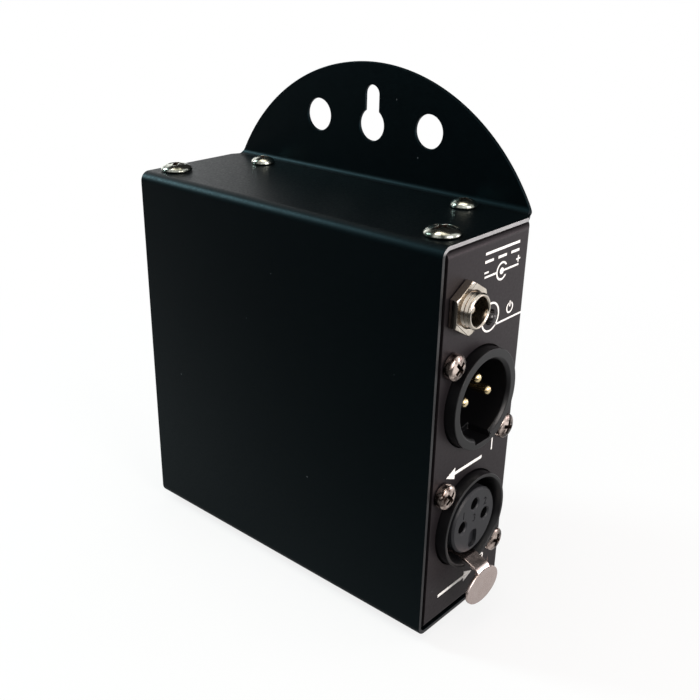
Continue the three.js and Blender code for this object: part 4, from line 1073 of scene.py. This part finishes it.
def fit_inlet():
    pin_tip = INLET_PROUD - INLET_PIN_RECESS
    inlet_place = end_place(1, INLET_Z) @ Matrix.Translation((0, INLET_Y, 0))
    lamp_place = end_place(1, LAMP_Z) @ Matrix.Translation((0, LAMP_Y, 0))
    for form, name, node, finish, place in (
            (make_inlet_body(), "inlet_barrel", "inlet_body", "nickel", inlet_place),
            (make_inlet_nut(), "inlet_hexagon_nut", "inlet_nut", "nickel", inlet_place),
            (turned_pin("inlet_pin_form", INLET_PIN, INLET_REAR, pin_tip, INLET_PIN_CROWN, 6, FINE_EASE),
             "inlet_centre_pin", "inlet_pin", "nickel", inlet_place),
            (make_lamp(), "lamp_lens", "power_lamp", "lamp_lens", lamp_place)):
        form.data.transform(place)
        form.name = name
        dress(form, finish, "case", node)


def dress_inner_nodes():
    """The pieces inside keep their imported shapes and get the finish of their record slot."""
    slots = {part["node"]: part["material_slot"] for part in frame["record"]["subparts"]}
    for name, node in frame["nodes"].items():
        if node.hide_render:
            continue
        node.data.materials.clear()
        node.data.materials.append(FINISHES[slots[name]])


# Camera, floor and light


def set_camera():
    """The camera of the photograph, from its three axes, its place, its lens and its shift."""
    right, up, back = (0.73503, 0.67799, 0.00720), (-0.28899, 0.30366, 0.90789), (0.61336, -0.66941, 0.41914)
    place = (0.14938, -0.16437, UNDERSIDE + 0.14987)
    data = bpy.data.cameras.new("camera")
    camera = bpy.data.objects.new("camera", data)
    bpy.context.scene.collection.objects.link(camera)
    camera.matrix_world = Matrix.Translation(place) @ Matrix((right, up, back)).transposed().to_4x4()
    data.sensor_width = 36
    data.lens = 48.599
    data.shift_x = 0.04437
    data.shift_y = 0.03602
    data.clip_start = 0.005
    bpy.context.scene.camera = camera


def add_seen(tree):
    """Whether the camera sees a thing directly or through something clear, and whether in a polish."""
    path = add_node(tree, "ShaderNodeLightPath").outputs
    direct = add_node(tree, "ShaderNodeMath", {"operation": "MAXIMUM"}, {
        0: path["Is Camera Ray"], 1: path["Is Transmission Ray"]})
    return direct, path["Is Glossy Ray"]


def set_floor():
    """A pale table: white to the eye, with the object's soft shadow kept near it. In polished surfaces it
    is dark in front of the object, dim near it and bright elsewhere."""
    take(None)
    bpy.ops.mesh.primitive_plane_add(size=4, location=(0, 0, 0))
    floor = bpy.context.active_object
    floor.name = "floor"
    material, tree, shader, where = new_finish("pale_studio_floor", Base_Color=srgb("#e2e2e2"), Roughness=0.9)
    direct, glossy = add_seen(tree)
    seen = add_node(tree, "ShaderNodeMath", {"operation": "MAXIMUM"}, {0: direct, 1: glossy})
    along = add_node(tree, "ShaderNodeVectorMath", {"operation": "DOT_PRODUCT"}, {
        0: where, 1: (-0.25, 1, 0)})
    distance = add_node(tree, "ShaderNodeVectorMath", {"operation": "LENGTH"}, {0: where})
    front, away, plain = [
        add_node(tree, "ShaderNodeMapRange", {}, {
            "Value": measure.outputs["Value"], "From Min": start * MM, "From Max": end * MM, "To Min": low})
        for measure, start, end, low in (
            (along, -75, -22, 0.05), (distance, 40, 220, 0.34), (distance, 50, 250, 0.82))]
    polished = add_node(tree, "ShaderNodeMath", {"operation": "MULTIPLY"}, {0: front, 1: away})
    bright = add_node(tree, "ShaderNodeMath", {"operation": "MAXIMUM"}, {0: direct, 1: polished})
    white = add_node(tree, "ShaderNodeEmission", {}, {"Color": srgb("#ffffff"), "Strength": bright})
    share = add_node(tree, "ShaderNodeMath", {"operation": "MULTIPLY"}, {0: seen, 1: plain})
    mix = add_node(tree, "ShaderNodeMixShader", {}, {0: share, 1: shader, 2: white})
    tree.links.new(mix.outputs[0], tree.nodes["Material Output"].inputs["Surface"])
    floor.data.materials.append(material)


def set_world():
    """White to the eye all round and grey to dull surfaces. Polished ones see a pale wall on the right, a
    bright one at the left rear, a dimmer one in front, and darkness elsewhere."""
    world = bpy.data.worlds.new("studio")
    world.use_nodes = True
    tree = world.node_tree
    background = tree.nodes["Background"]
    direct, glossy = add_seen(tree)
    way = add_node(tree, "ShaderNodeSeparateXYZ", {}, {
        0: add_node(tree, "ShaderNodeTexCoord").outputs["Generated"]})
    ramps = {
        name: add_node(tree, "ShaderNodeMapRange", {}, {
            "Value": way.outputs[axis], "From Min": start, "From Max": end, "To Min": low, "To Max": high})
        for name, axis, start, end, low, high in (
            ("right", "X", 0.2, 0.45, 0.02, 1.0),
            ("left", "X", -0.66, -0.76, 0.02, 1.7), ("left_rear", "Y", -0.2, 0.2, 0.0, 1.0),
            ("front", "Y", 0.1, -0.2, 0.02, 0.6), ("front_right", "X", -0.5, -0.2, 0.0, 1.0))}
    walls = ramps["right"]
    for wall, part in (("left", "left_rear"), ("front", "front_right")):
        lit = add_node(tree, "ShaderNodeMath", {"operation": "MULTIPLY"}, {0: ramps[wall], 1: ramps[part]})
        walls = add_node(tree, "ShaderNodeMath", {"operation": "MAXIMUM"}, {0: walls, 1: lit})
    indirect = add_node(tree, "ShaderNodeMix", {"data_type": "FLOAT"}, {0: glossy, 2: 0.5, 3: walls})
    strength = add_node(tree, "ShaderNodeMath", {"operation": "MAXIMUM"}, {0: direct, 1: indirect})
    background.inputs["Color"].default_value = srgb("#ffffff")
    tree.links.new(strength.outputs[0], background.inputs["Strength"])
    bpy.context.scene.world = world


def add_softbox(name, place, aim, width, height, power, colour):
    data = bpy.data.lights.new(name, "AREA")
    data.shape = "RECTANGLE"
    data.size, data.size_y = width, height
    data.energy = power
    data.color = srgb(colour)[:3]
    lamp = bpy.data.objects.new(name, data)
    bpy.context.scene.collection.objects.link(lamp)
    direction = Vector(aim) - Vector(place)
    lamp.rotation_mode = "QUATERNION"
    lamp.rotation_quaternion = direction.to_track_quat("-Z", "Y")
    lamp.location = place


def set_light():
    set_world()
    add_softbox("front_left_strip", (-0.55, -0.25, 0.45), (0, 0, 0.09), 0.12, 0.3, 3.6, "#dcfafc")
    add_softbox("overhead_softbox", (0.0, -0.05, 0.8), (0, 0, 0.05), 0.5, 0.5, 2.2, "#fff4e4")
    add_softbox("right_softbox", (0.75, -0.1, 0.35), (0, 0, 0.06), 0.4, 0.4, 4, "#fff6f2")
    add_softbox("rear_right_low_softbox", (0.42, 0.42, 0.14), (0.05, 0, 0.06), 0.25, 0.2, 0.5, "#fff0f4")


cover = dress(make_cover(), "cover_paint", "case", "cover")
show_cut_edges(cover)
dress(make_chassis(), "panel_paint", "case", "chassis")
fit_screws()
fit_connectors()
fit_inlet()
print_signs()
dress_inner_nodes()
set_camera()
set_floor()
set_light()
bpy.context.scene.view_settings.view_transform = "Standard"
